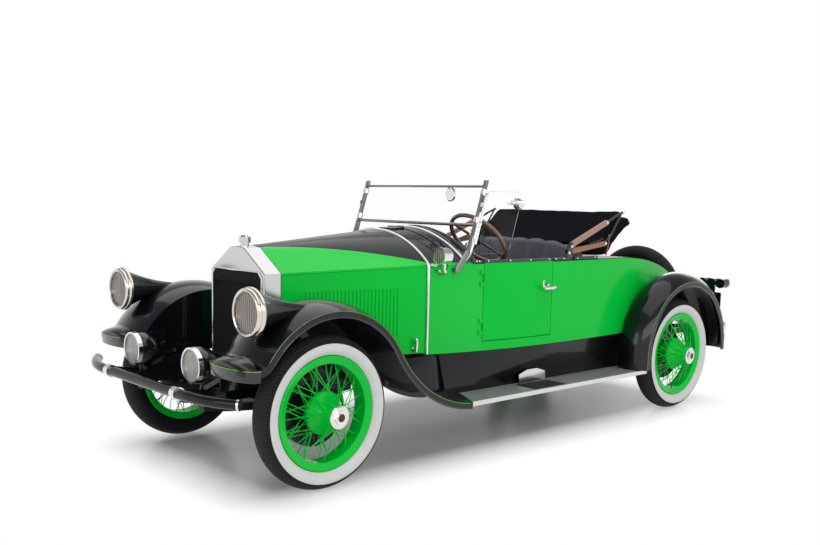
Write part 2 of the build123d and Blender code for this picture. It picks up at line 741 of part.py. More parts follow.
HOOD_RUN = hypot(HOOD_FRONT - HOOD_REAR, COWL_HALF - SHELL_HALF)
LOUVRE_PITCH = (HOOD_RUN - LOUVRE_START - LOUVRE_END) / (LOUVRES - 1)
HOOD_DIR = Vector(HOOD_REAR - HOOD_FRONT, COWL_HALF - SHELL_HALF, 0).normalized()
with BuildPart() as hood_side:
    hood_out = HOOD_DIR.cross(Vector(0, 0, 1))
    hood_plane = Plane(origin=(HOOD_FRONT, SHELL_HALF, 0), x_dir=HOOD_DIR, z_dir=hood_out)
    seam_edge = SEAM_DROP + SEAM_ROD + SEAT_GAP
    with BuildSketch(hood_plane):
        polygon(
            (0, HOOD_LOW), (HOOD_RUN, HOOD_LOW),
            (HOOD_RUN, COWL_SHOULDER - seam_edge), (0, SHELL_SHOULDER - seam_edge),
        )
    extrude(amount=-HOOD_SHEET)
    louvre_mid = (LOUVRE_START + (LOUVRES - 1) * LOUVRE_PITCH / 2, HOOD_LOW + 118 + LOUVRE_TALL / 2)
    with BuildSketch(hood_plane):
        with Locations(louvre_mid):
            with GridLocations(LOUVRE_PITCH, 1, LOUVRES, 1):
                Rectangle(LOUVRE_WIDE, LOUVRE_TALL)
    extrude(amount=LOUVRE_PROUD, taper=30)
save(hood_side.part, "hood_side_left")
save(mirror(hood_side.part, about=Plane.XZ), "hood_side_right")

RIDGE_FRONT = Vector(SHELL_BACK - SEAT_GAP - 0.5, 0, SHELL_TOP - RIDGE_DROP)
RIDGE_REAR = Vector(COWL_X + SEAT_GAP + 0.5, 0, COWL_TOP - RIDGE_DROP)
with BuildPart() as hood_rod:
    with BuildSketch(Plane(origin=RIDGE_FRONT, z_dir=RIDGE_REAR - RIDGE_FRONT)):
        Circle(RIDGE_ROD)
    extrude(amount=(RIDGE_REAR - RIDGE_FRONT).length)
save(hood_rod.part, "hood_rod")

# Cowl: side walls up to the belt, an arched top, and the firewall
with BuildPart() as cowl:
    with BuildSketch(Plane.XY.offset(BODY_LOW)):
        body_plan(0)
    extrude(amount=COWL_SHOULDER - BODY_LOW)
    with BuildSketch(Plane.XY.offset(BODY_LOW)):
        body_plan(WALL)
        with Locations((COWL_X - 20, 0)):
            Rectangle(40, 2 * (COWL_HALF - WALL))
    extrude(amount=BELT_Z - BODY_LOW, mode=Mode.SUBTRACT)
    with BuildSketch(Plane.XY):
        with Locations(((COWL_X + DOOR_FRONT + SHUT_GAP) / 2, 0)):
            Rectangle(COWL_X - DOOR_FRONT - SHUT_GAP, 2 * BODY_HALF)
    extrude(amount=2 * BELT_Z, mode=Mode.INTERSECT)
with BuildPart() as cowl_arch:
    for x, shoulder, top in ((COWL_X, COWL_SHOULDER, COWL_TOP), (DASH_X, COWL_SHOULDER, DASH_TOP)):
        half = half_width(x) - ARCH_INSET
        with BuildSketch(cross_plane(x)):
            arch_band((half, shoulder - 2), (half - 12, shoulder + 13), top, HOOD_SHEET + 4, 0)
    loft()
    both_sides(cowl_arch)
with BuildPart() as firewall:
    with BuildSketch(cross_plane(COWL_X - 25)):
        half = half_width(COWL_X) - 10
        polygon(
            (-half, BODY_LOW), (half, BODY_LOW), (half, COWL_SHOULDER), (half - 60, COWL_SHOULDER + 40),
            (180, COWL_TOP - 28), (-180, COWL_TOP - 28),
            (60 - half, COWL_SHOULDER + 40), (-half, COWL_SHOULDER),
        )
    extrude(amount=15)
DOOR_HINGE = (DOOR_FRONT + SHUT_GAP / 2, half_width(DOOR_FRONT) + HINGE_STANDOFF)
with BuildPart() as door_pins:
    for z in DOOR_HINGE_Z:
        for low in (z - HINGE_LONG / 2, z + HINGE_LONG + 1):
            with BuildSketch(Plane(origin=(*DOOR_HINGE, low))):
                hinge_leaf(HINGE_LEAF, 2 * HINGE_STANDOFF)
            extrude(amount=HINGE_LONG / 2 - 1)
        with BuildSketch(Plane(origin=(*DOOR_HINGE, z - HINGE_LONG / 2))):
            Circle(HINGE_PIN)
        extrude(amount=2 * HINGE_LONG)
    both_sides(door_pins)
with BuildPart() as cowl_whole:
    add(cowl.part)
    add(cowl_arch.part)
    add(firewall.part)
    add(door_pins.part)
save(cowl_whole.part, "cowl")

LID_HINGE_X = LID_REAR - SHUT_GAP / 2
DECK_BEND = ((DECK_X - TAIL_CORNER_X) ** 2 + (BELT_Z - DECK_TAIL_Z) ** 2) / (2 * (BELT_Z - DECK_TAIL_Z))
LID_HINGE_Z = BELT_Z - DECK_BEND + sqrt(DECK_BEND**2 - (DECK_X - LID_HINGE_X) ** 2) + HINGE_STANDOFF


def lid_plane(y):
    """The plane of a hinge sketch on the deck lid's axis."""
    return Plane(origin=(LID_HINGE_X, y, LID_HINGE_Z), x_dir=(-1, 0, 0), z_dir=(0, 1, 0))


# Rear body: sills, quarter panels, deck and tail round the cockpit and the luggage space
with BuildPart() as cockpit_space:
    with BuildSketch(Plane.XY.offset(BODY_LOW)):
        body_plan(WALL)
    extrude(amount=2 * BELT_Z)
    with BuildSketch(Plane.XY):
        with Locations(((COWL_X + COCKPIT_REAR) / 2, 0)):
            Rectangle(COWL_X - COCKPIT_REAR, 2 * BODY_HALF)
    extrude(amount=4 * BELT_Z, mode=Mode.INTERSECT)
with BuildPart() as deck_space:
    with BuildSketch(Plane.XY.offset(BODY_LOW)):
        body_plan(WALL)
    extrude(amount=BELT_Z - DECK_SKIN - BODY_LOW)
    with BuildSketch(side_plane(0)):
        above_deck(DECK_SKIN)
    extrude(amount=2 * BODY_HALF, both=True, mode=Mode.SUBTRACT)
    with BuildSketch(Plane.XY):
        with Locations(((COCKPIT_REAR - 20 + TAIL_X) / 2, 0)):
            Rectangle(COCKPIT_REAR - 20 - TAIL_X, 2 * BODY_HALF)
    extrude(amount=2 * BELT_Z, mode=Mode.INTERSECT)
with BuildPart() as body_block:
    with BuildSketch(Plane.XY.offset(BODY_LOW)):
        body_plan(0)
    extrude(amount=BELT_Z - BODY_LOW)
    with BuildSketch(side_plane(0)):
        above_deck(0)
    extrude(amount=2 * BODY_HALF, both=True, mode=Mode.SUBTRACT)
with BuildPart() as rear_body:
    add(body_block.part)
    add(cockpit_space.part, mode=Mode.SUBTRACT)
    add(deck_space.part, mode=Mode.SUBTRACT)
    with BuildSketch(Plane.XY):
        with Locations(((COWL_X + DOOR_FRONT + SHUT_GAP) / 2 + 100, 0)):
            Rectangle(COWL_X - DOOR_FRONT - SHUT_GAP + 200, 2 * BODY_HALF)
    extrude(amount=2 * BELT_Z, mode=Mode.SUBTRACT)
    with BuildSketch(Plane.XY.offset(DOOR_LOW - SHUT_GAP)):
        with Locations(((DOOR_FRONT + DOOR_REAR) / 2, 0)):
            Rectangle(DOOR_FRONT - DOOR_REAR + 2 * SHUT_GAP, 2 * BODY_HALF)
    extrude(amount=BELT_Z, mode=Mode.SUBTRACT)
    with BuildSketch(Plane.XY.offset(BELT_Z - 200)):
        with Locations(((LID_FRONT + LID_REAR) / 2, 0)):
            Rectangle(LID_FRONT - LID_REAR + 2 * SHUT_GAP, 2 * (LID_HALF + SHUT_GAP))
    extrude(amount=300, mode=Mode.SUBTRACT)
    with BuildSketch(Plane.XY.offset(BODY_LOW)):
        with Locations((COCKPIT_REAR - 10, 0)):
            Rectangle(60, 2 * (half_width(COCKPIT_REAR - 40) - WALL))
    extrude(amount=FLOOR_THICK + 2 * SEAT_GAP, mode=Mode.SUBTRACT)
    for y in LID_HINGE_Y:
        for low in (y - HINGE_LONG, y + HINGE_LONG / 2 + 1):
            with BuildSketch(lid_plane(low)):
                hinge_leaf(HINGE_LEAF, 3 * HINGE_STANDOFF)
            extrude(amount=HINGE_LONG / 2 - 1)
        with BuildSketch(lid_plane(y - HINGE_LONG)):
            Circle(HINGE_PIN)
        extrude(amount=2 * HINGE_LONG)
save(rear_body.part, "rear_body")

# Doors, cut from the same wall
with BuildPart() as door:
    with BuildSketch(Plane.XY.offset(DOOR_LOW)):
        body_plan(0)
    extrude(amount=BELT_Z - DOOR_LOW)
    with BuildSketch(Plane.XY.offset(DOOR_LOW)):
        body_plan(WALL)
    extrude(amount=BELT_Z - DOOR_LOW, mode=Mode.SUBTRACT)
    with BuildSketch(Plane.XY.offset(DOOR_LOW)):
        with Locations(((DOOR_FRONT + DOOR_REAR) / 2, BODY_HALF / 2)):
            Rectangle(DOOR_FRONT - DOOR_REAR, BODY_HALF)
    extrude(amount=BELT_Z, mode=Mode.INTERSECT)
    for z in DOOR_HINGE_Z:
        with BuildSketch(Plane(origin=(*DOOR_HINGE, z))):
            hinge_leaf(-HINGE_LEAF, 2 * HINGE_STANDOFF)
        extrude(amount=HINGE_LONG)
        with BuildSketch(Plane(origin=(*DOOR_HINGE, z))):
            Circle(HINGE_PIN + PIN_GAP)
        extrude(amount=HINGE_LONG, mode=Mode.SUBTRACT)
    handle_x = DOOR_REAR + 30
    handle_y = half_width(handle_x)
    with BuildSketch(Plane(origin=(handle_x, handle_y - 10, HANDLE_Z), x_dir=(1, 0, 0), z_dir=(0, 1, 0))):
        Circle(11)
    extrude(amount=46)
    grip = (handle_x - 12, handle_y + 44, HANDLE_Z)
    with BuildSketch(Plane(origin=grip, x_dir=(0, 1, 0), z_dir=(1, 0, 0))):
        SlotOverall(26, 16)
    extrude(amount=120)
save(door.part, "door_left")
save(mirror(door.part, about=Plane.XZ), "door_right")

# Deck lid, cut from the deck's skin
with BuildPart() as deck_lid:
    add(body_block.part)
    with BuildSketch(side_plane(0)):
        above_deck(DECK_SKIN)
    extrude(amount=2 * BODY_HALF, both=True, mode=Mode.INTERSECT)
    with BuildSketch(Plane.XY):
        with Locations(((LID_FRONT + LID_REAR) / 2, 0)):
            Rectangle(LID_FRONT - LID_REAR, 2 * LID_HALF)
    extrude(amount=2 * BELT_Z, mode=Mode.INTERSECT)
    for y in LID_HINGE_Y:
        with BuildSketch(lid_plane(y - HINGE_LONG / 2)):
            hinge_leaf(-HINGE_LEAF, 2 * HINGE_STANDOFF)
        extrude(amount=HINGE_LONG)
        with BuildSketch(lid_plane(y - HINGE_LONG / 2)):
            Circle(HINGE_PIN + PIN_GAP)
        extrude(amount=HINGE_LONG, mode=Mode.SUBTRACT)
save(deck_lid.part, "deck_lid")

# Floor, on the rails
FLOOR_STATIONS = (COWL_X - 26, 500, 250, 0, WIDE_X, QUARTER_X, -1100, -1500, -1800, -2050)
with BuildPart() as floor:
    with BuildSketch(Plane.XY.offset(RAIL_TOP + SEAT_GAP)):
        edge = [(x, half_width(x) - WALL - 2 * SEAT_GAP) for x in FLOOR_STATIONS]
        polygon(*edge, *[(x, -y) for x, y in reversed(edge)])
    extrude(amount=FLOOR_THICK)
save(floor.part, "floor")

# Seat cushion and seat back
FLOOR_TOP = RAIL_TOP + SEAT_GAP + FLOOR_THICK
with BuildPart() as seat_cushion:
    with BuildSketch(side_plane(0)):
        seat_low = FLOOR_TOP + SEAT_GAP
        polygon((20, seat_low), (40, 800), (10, 845), (SEAT_SPLIT, 815), (SEAT_SPLIT, seat_low))
    extrude(amount=SEAT_HALF, both=True)
save(seat_cushion.part, "seat_cushion")
with BuildPart() as seat_back:
    with BuildSketch(side_plane(0)):
        polygon(
            (SEAT_SPLIT - SEAT_GAP, seat_low), (SEAT_SPLIT - SEAT_GAP, 830), (-640, 1270), (-690, 1290),
            (-740, 1270), (-760, 1180), (-760, seat_low),
        )
    extrude(amount=SEAT_HALF, both=True)
save(seat_back.part, "seat_back")


def front_fender_path():
    """The lip line of a front fender from its nose over the wheel to the running board."""
    with BuildLine(Plane.XZ) as lip:
        start, end = radians(ARCH_START), radians(ARCH_END)
        front = (ARCH_X + ARCH_RADIUS * cos(start), ARCH_Z + ARCH_RADIUS * sin(start))
        back = (ARCH_X + ARCH_RADIUS * cos(end), ARCH_Z + ARCH_RADIUS * sin(end))
        middle = (ARCH_X, ARCH_Z + ARCH_RADIUS)
        nose_turn = radians(90 - ARCH_START)
        nose = (front[0] + NOSE_RADIUS * sin(nose_turn), front[1] - NOSE_RADIUS * (1 - cos(nose_turn)))
        heading = radians(ARCH_END + 90)
        line_end = (back[0] + LINE_LENGTH * cos(heading), back[1] + LINE_LENGTH * sin(heading))
        foot = radians(ARCH_END + 90 - FOOT_TURN)
        centre = (line_end[0] + FOOT_RADIUS * sin(heading), line_end[1] - FOOT_RADIUS * cos(heading))
        half_turn = heading - radians(FOOT_TURN / 2)
        Line((nose[0] + 8, nose[1]), nose)
        TangentArc(nose, front, tangent=(-1, 0))
        ThreePointArc(front, middle, back)
        Line(back, line_end)
        ThreePointArc(
            line_end,
            (centre[0] - FOOT_RADIUS * sin(half_turn), centre[1] + FOOT_RADIUS * cos(half_turn)),
            (centre[0] - FOOT_RADIUS * sin(foot), centre[1] + FOOT_RADIUS * cos(foot)),
        )
    return lip, nose


FENDER_MID = (FENDER_OUT + FENDER_IN) / 2
FENDER_SPAN = (FENDER_OUT - FENDER_IN) / 2
POD_BACK = X_FRONT + 60
VALANCE_LOW = RAIL_TOP
with BuildPart() as front_fender:
    lip, nose = front_fender_path()
    root_x = nose[0] + 8
    with BuildSketch(Plane(origin=(root_x, 0, nose[1]), x_dir=(0, -1, 0), z_dir=(-1, 0, 0))):
        fender_band(FENDER_IN, FENDER_OUT, (FENDER_SKIRT, FENDER_SKIRT), FENDER_CROWN, FENDER_SHEET)
    sweep(path=lip.wire())
with BuildPart() as fender_nose:
    for share, wide, tall, lift in NOSE_SECTIONS:
        with BuildSketch(cross_plane(root_x + share * NOSE_REACH)):
            fender_block(
                FENDER_MID, FENDER_SPAN * wide, FENDER_SKIRT * tall, FENDER_CROWN * tall,
                nose[1] + lift,
            )
    loft()
with BuildPart() as lamp_pod:
    with BuildSketch(Plane(origin=(0, LAMP_Y, LAMP_Z), x_dir=(1, 0, 0), z_dir=(0, -1, 0))):
        with BuildLine():
            pod_front = LAMP_X - 40
            pod_radius = LAMP_RADIUS - 8
            Line((POD_BACK, 0), (pod_front, 0))
            Line((pod_front, 0), (pod_front, pod_radius))
            ThreePointArc((pod_front, pod_radius), (pod_front - 130, 66), (POD_BACK, 22))
            Line((POD_BACK, 22), (POD_BACK, 0))
        make_face()
    revolve(axis=Axis((0, LAMP_Y, LAMP_Z), (1, 0, 0)))
with BuildPart() as valance:
    with BuildSketch(side_plane(FENDER_IN)):
        with BuildLine():
            over = ARCH_RADIUS + VALANCE_LAP
            front_angle, back_angle = radians(ARCH_START + 4), radians(ARCH_END - 4)
            front = (ARCH_X + over * cos(front_angle), ARCH_Z + over * sin(front_angle))
            back = (ARCH_X + over * cos(back_angle), ARCH_Z + over * sin(back_angle))
            ThreePointArc(front, (ARCH_X, ARCH_Z + over), back)
            Polyline(back, (back[0] + 60, VALANCE_LOW), (front[0] - 60, VALANCE_LOW), front)
        make_face()
    extrude(amount=-FENDER_SHEET)
with BuildPart() as foot_valance:
    foot = lip.edges().sort_by(Axis.X)[0]
    foot_line = [(spot.X, spot.Z + VALANCE_LAP) for spot in (foot @ 0, foot @ 0.5, foot @ 1)]
    foot_line.sort(reverse=True)
    foot_low, foot_high = foot_line[2], foot_line[0]
    with BuildSketch(side_plane(FENDER_IN)):
        with BuildLine():
            ThreePointArc(*foot_line)
            Polyline(foot_low, (foot_low[0], foot_high[1]), foot_high)
        make_face()
        with Locations((foot_low[0], VALANCE_LOW - SHUT_GAP)):
            Rectangle(FOOT_RADIUS, FOOT_RADIUS, align=(Align.MIN, Align.MIN), mode=Mode.SUBTRACT)
    extrude(amount=-FENDER_SHEET)
with BuildPart() as fender_feet:
    with BuildSketch(Plane.XY.offset(VALANCE_LOW + SEAT_GAP)):
        for x in (X_FRONT + 200, X_FRONT - 250):
            with Locations((x, (RAIL_Y + FENDER_IN) / 2)):
                Rectangle(60, FENDER_IN - RAIL_Y)
    extrude(amount=8)
with BuildPart() as fender_whole:
    add(front_fender.part)
    add(fender_nose.part)
    add(lamp_pod.part)
    add(valance.part)
    add(foot_valance.part)
    add(fender_feet.part)
save(fender_whole.part, "front_fender_left")
save(mirror(fender_whole.part, about=Plane.XZ), "front_fender_right")

# Rear fenders, over the wheel and against the body's side
with BuildPart() as rear_fender:
    arch_front = (REAR_ARCH_X + REAR_ARCH_RADIUS, 0, REAR_ARCH_Z)
    with BuildSketch(Plane(origin=arch_front, x_dir=(0, -1, 0), z_dir=(0, 0, 1))):
        fender_band(REAR_FENDER_IN, FENDER_OUT, REAR_FENDER_SKIRTS, REAR_FENDER_CROWN, FENDER_SHEET)
    revolve(axis=Axis((REAR_ARCH_X, 0, REAR_ARCH_Z), (0, -1, 0)), revolution_arc=180)
    front_face = rear_fender.faces().filter_by(Plane.XY).sort_by(Axis.X)[-1]
    rear_face = rear_fender.faces().filter_by(Plane.XY).sort_by(Axis.X)[0]
    extrude(front_face, amount=REAR_ARCH_Z - BOARD_TOP - SEAT_GAP)
    extrude(rear_face, amount=REAR_FENDER_TAIL)
    with BuildSketch(Plane.XY):
        body_plan(-SEAT_GAP)
    extrude(amount=3 * BELT_Z, mode=Mode.SUBTRACT)
save(rear_fender.part, "rear_fender_left")
save(mirror(rear_fender.part, about=Plane.XZ), "rear_fender_right")

# Running boards between the fenders
BOARD_FRONT = lip.wire() @ 1
BOARD_FRONT_X = BOARD_FRONT.X - SEAT_GAP - 1
with BuildPart() as running_boards:
    with BuildSketch(Plane.XY.offset(BOARD_TOP - BOARD_THICK)):
        polygon(
            (BOARD_FRONT_X, BOARD_IN), (BOARD_FRONT_X, BOARD_OUT), (BOARD_REAR, BOARD_OUT),
            (BOARD_REAR, BOARD_IN),
        )
    extrude(amount=BOARD_THICK)
    for x in BOARD_BRACKETS:
        with BuildSketch(cross_plane(x - 20)):
            under = BOARD_TOP - BOARD_THICK
            rail_out = RAIL_Y + RAIL_HALF + SEAT_GAP
            polygon(
                (rail_out, RAIL_LOW + 10), (rail_out, RAIL_LOW + 45),
                (BOARD_IN - 20, under), (BOARD_IN + 40, under + 1),
                (BOARD_OUT - 20, under + 1), (BOARD_OUT - 20, under - 12), (BOARD_IN - 30, under - 14),
            )
        extrude(amount=40)
    both_sides(running_boards)
save(running_boards.part, "running_boards")

# Splash aprons from the boards' inner edges up to the body's sills
APRON_X = (BOARD_FRONT_X - 25, DOOR_FRONT, DOOR_REAR, BOARD_REAR)
with BuildPart() as splash_aprons:
    for x in APRON_X:
        top = half_width(x) - APRON_THICK
        low = BOARD_IN + APRON_THICK
        with BuildSketch(cross_plane(x)):
            polygon(
                (low, BOARD_TOP + SEAT_GAP), (low, BOARD_TOP + 40), (top, BODY_LOW - SEAT_GAP),
                (top - APRON_THICK, BODY_LOW - SEAT_GAP), (BOARD_IN, BOARD_TOP + 40),
                (BOARD_IN, BOARD_TOP + SEAT_GAP),
            )
    loft(ruled=True)
    both_sides(splash_aprons)
save(splash_aprons.part, "splash_aprons")

# Headlamp rims, each a double ring round its lens
RIM_BACK = LAMP_X - 40 + SEAT_GAP
with BuildPart() as headlamp_rims:
    with BuildSketch(Plane(origin=(0, LAMP_Y, LAMP_Z), x_dir=(1, 0, 0), z_dir=(0, -1, 0))):
        with BuildLine():
            Polyline((LAMP_X + 4, LENS_RADIUS), (RIM_BACK, LENS_RADIUS), (RIM_BACK, LAMP_RADIUS))
            ThreePointArc(
                (RIM_BACK, LAMP_RADIUS), (RIM_BACK + 12, LAMP_RADIUS + 5),
                (RIM_BACK + 24, LAMP_RADIUS - 3),
            )
            ThreePointArc(
                (RIM_BACK + 24, LAMP_RADIUS - 3), (RIM_BACK + 38, LAMP_RADIUS - 1),
                (LAMP_X + 8, LAMP_RADIUS - 14),
            )
            Line((LAMP_X + 8, LAMP_RADIUS - 14), (LAMP_X + 4, LENS_RADIUS))
        make_face()
    revolve(axis=Axis((0, LAMP_Y, LAMP_Z), (1, 0, 0)))
    both_sides(headlamp_rims)
save(headlamp_rims.part, "headlamp_rims")

# Driving lamps on posts from the frame horns
LAMP_POST_X = DRIVING_X - 50
HORN_SLOPE = (RAIL_TOP - HORN_TOP) / (HORN_REACH - HORN_START)
POST_BASE = RAIL_TOP - HORN_SLOPE * (LAMP_POST_X - 9 - X_FRONT - HORN_START) + SEAT_GAP
with BuildPart() as driving_lamps:
    with BuildSketch(Plane(origin=(0, DRIVING_Y, DRIVING_Z), x_dir=(1, 0, 0), z_dir=(0, -1, 0))):
        with BuildLine():
            front = DRIVING_X + 12
            Polyline(
                (DRIVING_X - 6, 0), (DRIVING_X - 6, DRIVING_LENS + SEAT_GAP),
                (front, DRIVING_LENS + SEAT_GAP), (front, DRIVING_RADIUS),
            )
            Line((front, DRIVING_RADIUS), (front - 26, DRIVING_RADIUS))
            ThreePointArc((front - 26, DRIVING_RADIUS), (front - 120, 70), (front - 170, 0))
            Line((front - 170, 0), (DRIVING_X - 6, 0))
        make_face()
    revolve(axis=Axis((0, DRIVING_Y, DRIVING_Z), (1, 0, 0)))
    with BuildSketch(Plane.XY.offset(POST_BASE)):
        with Locations((LAMP_POST_X, RAIL_Y)):
            Circle(9)
    extrude(amount=DRIVING_Z - POST_BASE)
    both_sides(driving_lamps)
save(driving_lamps.part, "driving_lamps")

# Cowl lamps on short brackets from the cowl's sides
COWL_LAMP_Y = half_width(COWL_LAMP_X) + COWL_LAMP_RADIUS + 16
with BuildPart() as cowl_lamps:
    with BuildSketch(Plane(origin=(0, COWL_LAMP_Y, COWL_LAMP_Z), x_dir=(1, 0, 0), z_dir=(0, -1, 0))):
        with BuildLine():
            front = COWL_LAMP_X + COWL_LAMP_HALF
            dome_x = front - 2 * COWL_LAMP_HALF + COWL_LAMP_DOME
            lens = COWL_LAMP_RADIUS - 9
            Polyline(
                (front - 10, 0), (front - 10, lens), (front, lens), (front, COWL_LAMP_RADIUS),
                (front - 16, COWL_LAMP_RADIUS),
            )
            Polyline(
                (front - 16, COWL_LAMP_RADIUS), (front - 20, COWL_LAMP_RADIUS - 5),
                (dome_x, COWL_LAMP_RADIUS - 5),
            )
            dome(front - 2 * COWL_LAMP_HALF, -COWL_LAMP_DOME, COWL_LAMP_RADIUS - 5)
            Line((front - 2 * COWL_LAMP_HALF, 0), (front - 10, 0))
        make_face()
    revolve(axis=Axis((0, COWL_LAMP_Y, COWL_LAMP_Z), (1, 0, 0)))
    with BuildSketch(Plane.XY.offset(COWL_LAMP_FOOT)):
        with Locations((COWL_LAMP_X, COWL_LAMP_Y)):
            Circle(8)
    extrude(amount=COWL_LAMP_Z - COWL_LAMP_FOOT)
    with BuildSketch(Plane.XY.offset(COWL_LAMP_FOOT)):
        foot_in = half_width(COWL_LAMP_X - 9) + SEAT_GAP
        polygon(
            (COWL_LAMP_X - 9, foot_in), (COWL_LAMP_X + 9, foot_in),
            (COWL_LAMP_X + 9, COWL_LAMP_Y + 8), (COWL_LAMP_X - 9, COWL_LAMP_Y + 8),
        )
    extrude(amount=14)
    both_sides(cowl_lamps)
save(cowl_lamps.part, "cowl_lamps")

COWL_LENS_X = COWL_LAMP_X + COWL_LAMP_HALF - 10 + SEAT_GAP
# Lenses of all the lamps: middle of the face, radius, thickness
LENSES = (
    ((LAMP_X - 14, LAMP_Y, LAMP_Z), LENS_RADIUS - SEAT_GAP, 14),
    ((DRIVING_X - 6 + SEAT_GAP, DRIVING_Y, DRIVING_Z), DRIVING_LENS, 12),
    ((COWL_LENS_X, COWL_LAMP_Y, COWL_LAMP_Z), COWL_LAMP_RADIUS - 9 - SEAT_GAP, 8),
)
with BuildPart() as lamp_lenses:
    for (x, y, z), radius, thick in LENSES:
        with BuildSketch(Plane(origin=(0, y, z), x_dir=(1, 0, 0), z_dir=(0, -1, 0))):
            with BuildLine():
                Polyline((x + thick, 0), (x, 0), (x, radius), (x + thick * 0.5, radius))
                dome(x + thick, thick / 2, radius)
            make_face()
        revolve(axis=Axis((0, y, z), (1, 0, 0)))
    both_sides(lamp_lenses)
save(lamp_lenses.part, "lamp_lenses")

# Front bumper: one tube, straight across the horns and swept back at its ends
BUMPER_BEND = ((BUMPER_END_Y - BUMPER_STRAIGHT) ** 2 + BUMPER_SWEEP**2) / (2 * BUMPER_SWEEP)
END_TURN = 2 * atan2(BUMPER_SWEEP, BUMPER_END_Y - BUMPER_STRAIGHT)
with BuildPart() as front_bumper:
    with BuildSketch(Plane(origin=(BUMPER_X, 0, BUMPER_Z), x_dir=(1, 0, 0), z_dir=(0, 1, 0))):
        Circle(BUMPER_TUBE)
    extrude(amount=BUMPER_STRAIGHT)
    with BuildSketch(Plane(origin=(BUMPER_X, BUMPER_STRAIGHT, BUMPER_Z), x_dir=(1, 0, 0), z_dir=(0, 1, 0))):
        Circle(BUMPER_TUBE)
    bend_axis = Axis((BUMPER_X - BUMPER_BEND, BUMPER_STRAIGHT, 0), (0, 0, 1))
    revolve(axis=bend_axis, revolution_arc=degrees(END_TURN))
    both_sides(front_bumper)
save(front_bumper.part, "front_bumper")

END_DIR = Vector(-sin(END_TURN), cos(END_TURN), 0)
with BuildPart() as bumper_fittings:
    clamp_at = (BUMPER_X, IRON_Y + (IRON_THICK - CLAMP_WIDE) / 2, BUMPER_Z)
    with BuildSketch(Plane(origin=clamp_at, x_dir=(1, 0, 0), z_dir=(0, 1, 0))):
        Circle(BUMPER_TUBE + SEAT_GAP + CLAMP_WALL)
        Circle(BUMPER_TUBE + SEAT_GAP, mode=Mode.SUBTRACT)
    extrude(amount=CLAMP_WIDE)
    end = Vector(BUMPER_X - BUMPER_SWEEP, BUMPER_END_Y, BUMPER_Z) + END_DIR * SEAT_GAP
    with BuildSketch(Plane(origin=end, z_dir=END_DIR)):
        Circle(BUMPER_TUBE + 3)
    extrude(amount=12)
    both_sides(bumper_fittings)
save(bumper_fittings.part, "bumper_fittings")

# Rear bumper: two flat spring bars tied by uprights at the irons
with BuildPart() as rear_bumper:
    for z in REAR_BAR_Z:
        with BuildSketch(Plane.XY.offset(z - REAR_BAR_TALL / 2)):
            with BuildLine():
                Line((REAR_BAR_X, 0), (REAR_BAR_X, REAR_BAR_STRAIGHT))
                bar_end = (X_STERN + REAR_BAR_SWEEP, BUMPER_END_Y)
                TangentArc((REAR_BAR_X, REAR_BAR_STRAIGHT), bar_end, tangent=(0, 1))
            trace(line_width=REAR_BAR_THICK)
        extrude(amount=REAR_BAR_TALL)
    with BuildSketch(cross_plane(X_STERN + REAR_BAR_THICK)):
        with Locations((RAIL_Y, 541)):
            Rectangle(44, 142)
    extrude(amount=REAR_BAR_THICK)
    both_sides(rear_bumper)
save(rear_bumper.part, "rear_bumper")

# Dashboard, between the cowl's walls
with BuildPart() as dashboard:
    with BuildSketch(cross_plane(DASH_X)):
        half = half_width(DASH_X + DASH_THICK) - WALL - SEAT_GAP
        polygon(
            (-half, 1105), (half, 1105), (half, 1150), (330, 1280), (150, 1338), (-150, 1338),
            (-330, 1280), (-half, 1150),
        )
    extrude(amount=DASH_THICK)
save(dashboard.part, "dashboard")

# Windscreen: two posts swept forward at their feet, a bar under each pane
POST_IN = half_width(500) + SEAT_GAP
POST_DIR = Vector(SCREEN_TOP[0] - SCREEN_MID[0], 0, SCREEN_TOP[1] - SCREEN_MID[1]).normalized()
WING_DIR = Vector(-190, 140, 0).normalized()
WING_LEAN = WING_DIR.dot(POST_DIR)
WING_STRETCH = sqrt(1 - WING_LEAN**2)
WING_FOOT = Vector(SCREEN_MID[0], POST_IN + POST_WIDE + 6, SCREEN_MID[1]) - POST_DIR * WING_BELOW


def wing_points(*pairs):
    """Points of a wind-wing as (out from the post, up along the post)."""
    return [(out + up * WING_LEAN, up * WING_STRETCH) for out, up in pairs]


WING_PLANE = Plane(origin=WING_FOOT, x_dir=WING_DIR, z_dir=WING_DIR.cross(POST_DIR))
with BuildPart() as windscreen_frame:
    with BuildSketch(side_plane(POST_IN)):
        polygon(
            (338, 1678), (425, 1398), (484, 1240), (590, 1110), (560, 1110), (458, 1226),
            (401, 1398), (314, 1678),
        )
    extrude(amount=-POST_WIDE)
    with BuildSketch(WING_PLANE):
        for low in WING_CLIPS:
            polygon(*wing_points(
                (-14, low), (WING_EDGE - SEAT_GAP, low), (WING_EDGE - SEAT_GAP, low + 26),
                (-14, low + 26),
            ))
    extrude(amount=9, both=True)
    for (x, z), radius in ((SCREEN_MID, 10), (SCREEN_RAIL, 8)):
        with BuildSketch(side_plane(0)):
            with Locations((x, z)):
                Circle(radius)
        extrude(amount=-POST_IN - 5)
    with BuildSketch(Plane.XY.offset(POST_FOOT_Z)):
        foot_y = half_width(POST_FOOT_X) + SEAT_GAP
        polygon(
            (POST_FOOT_X, foot_y), (POST_FOOT_X + 40, foot_y),
            (POST_FOOT_X + 40, POST_IN + 2), (POST_FOOT_X, POST_IN + 2),
        )
    extrude(amount=22)
    both_sides(windscreen_frame)
save(windscreen_frame.part, "windscreen_frame")

SCREEN_SLOPE = (SCREEN_TOP[0] - SCREEN_MID[0]) / (SCREEN_TOP[1] - SCREEN_MID[1])
PANE_HALF = 3


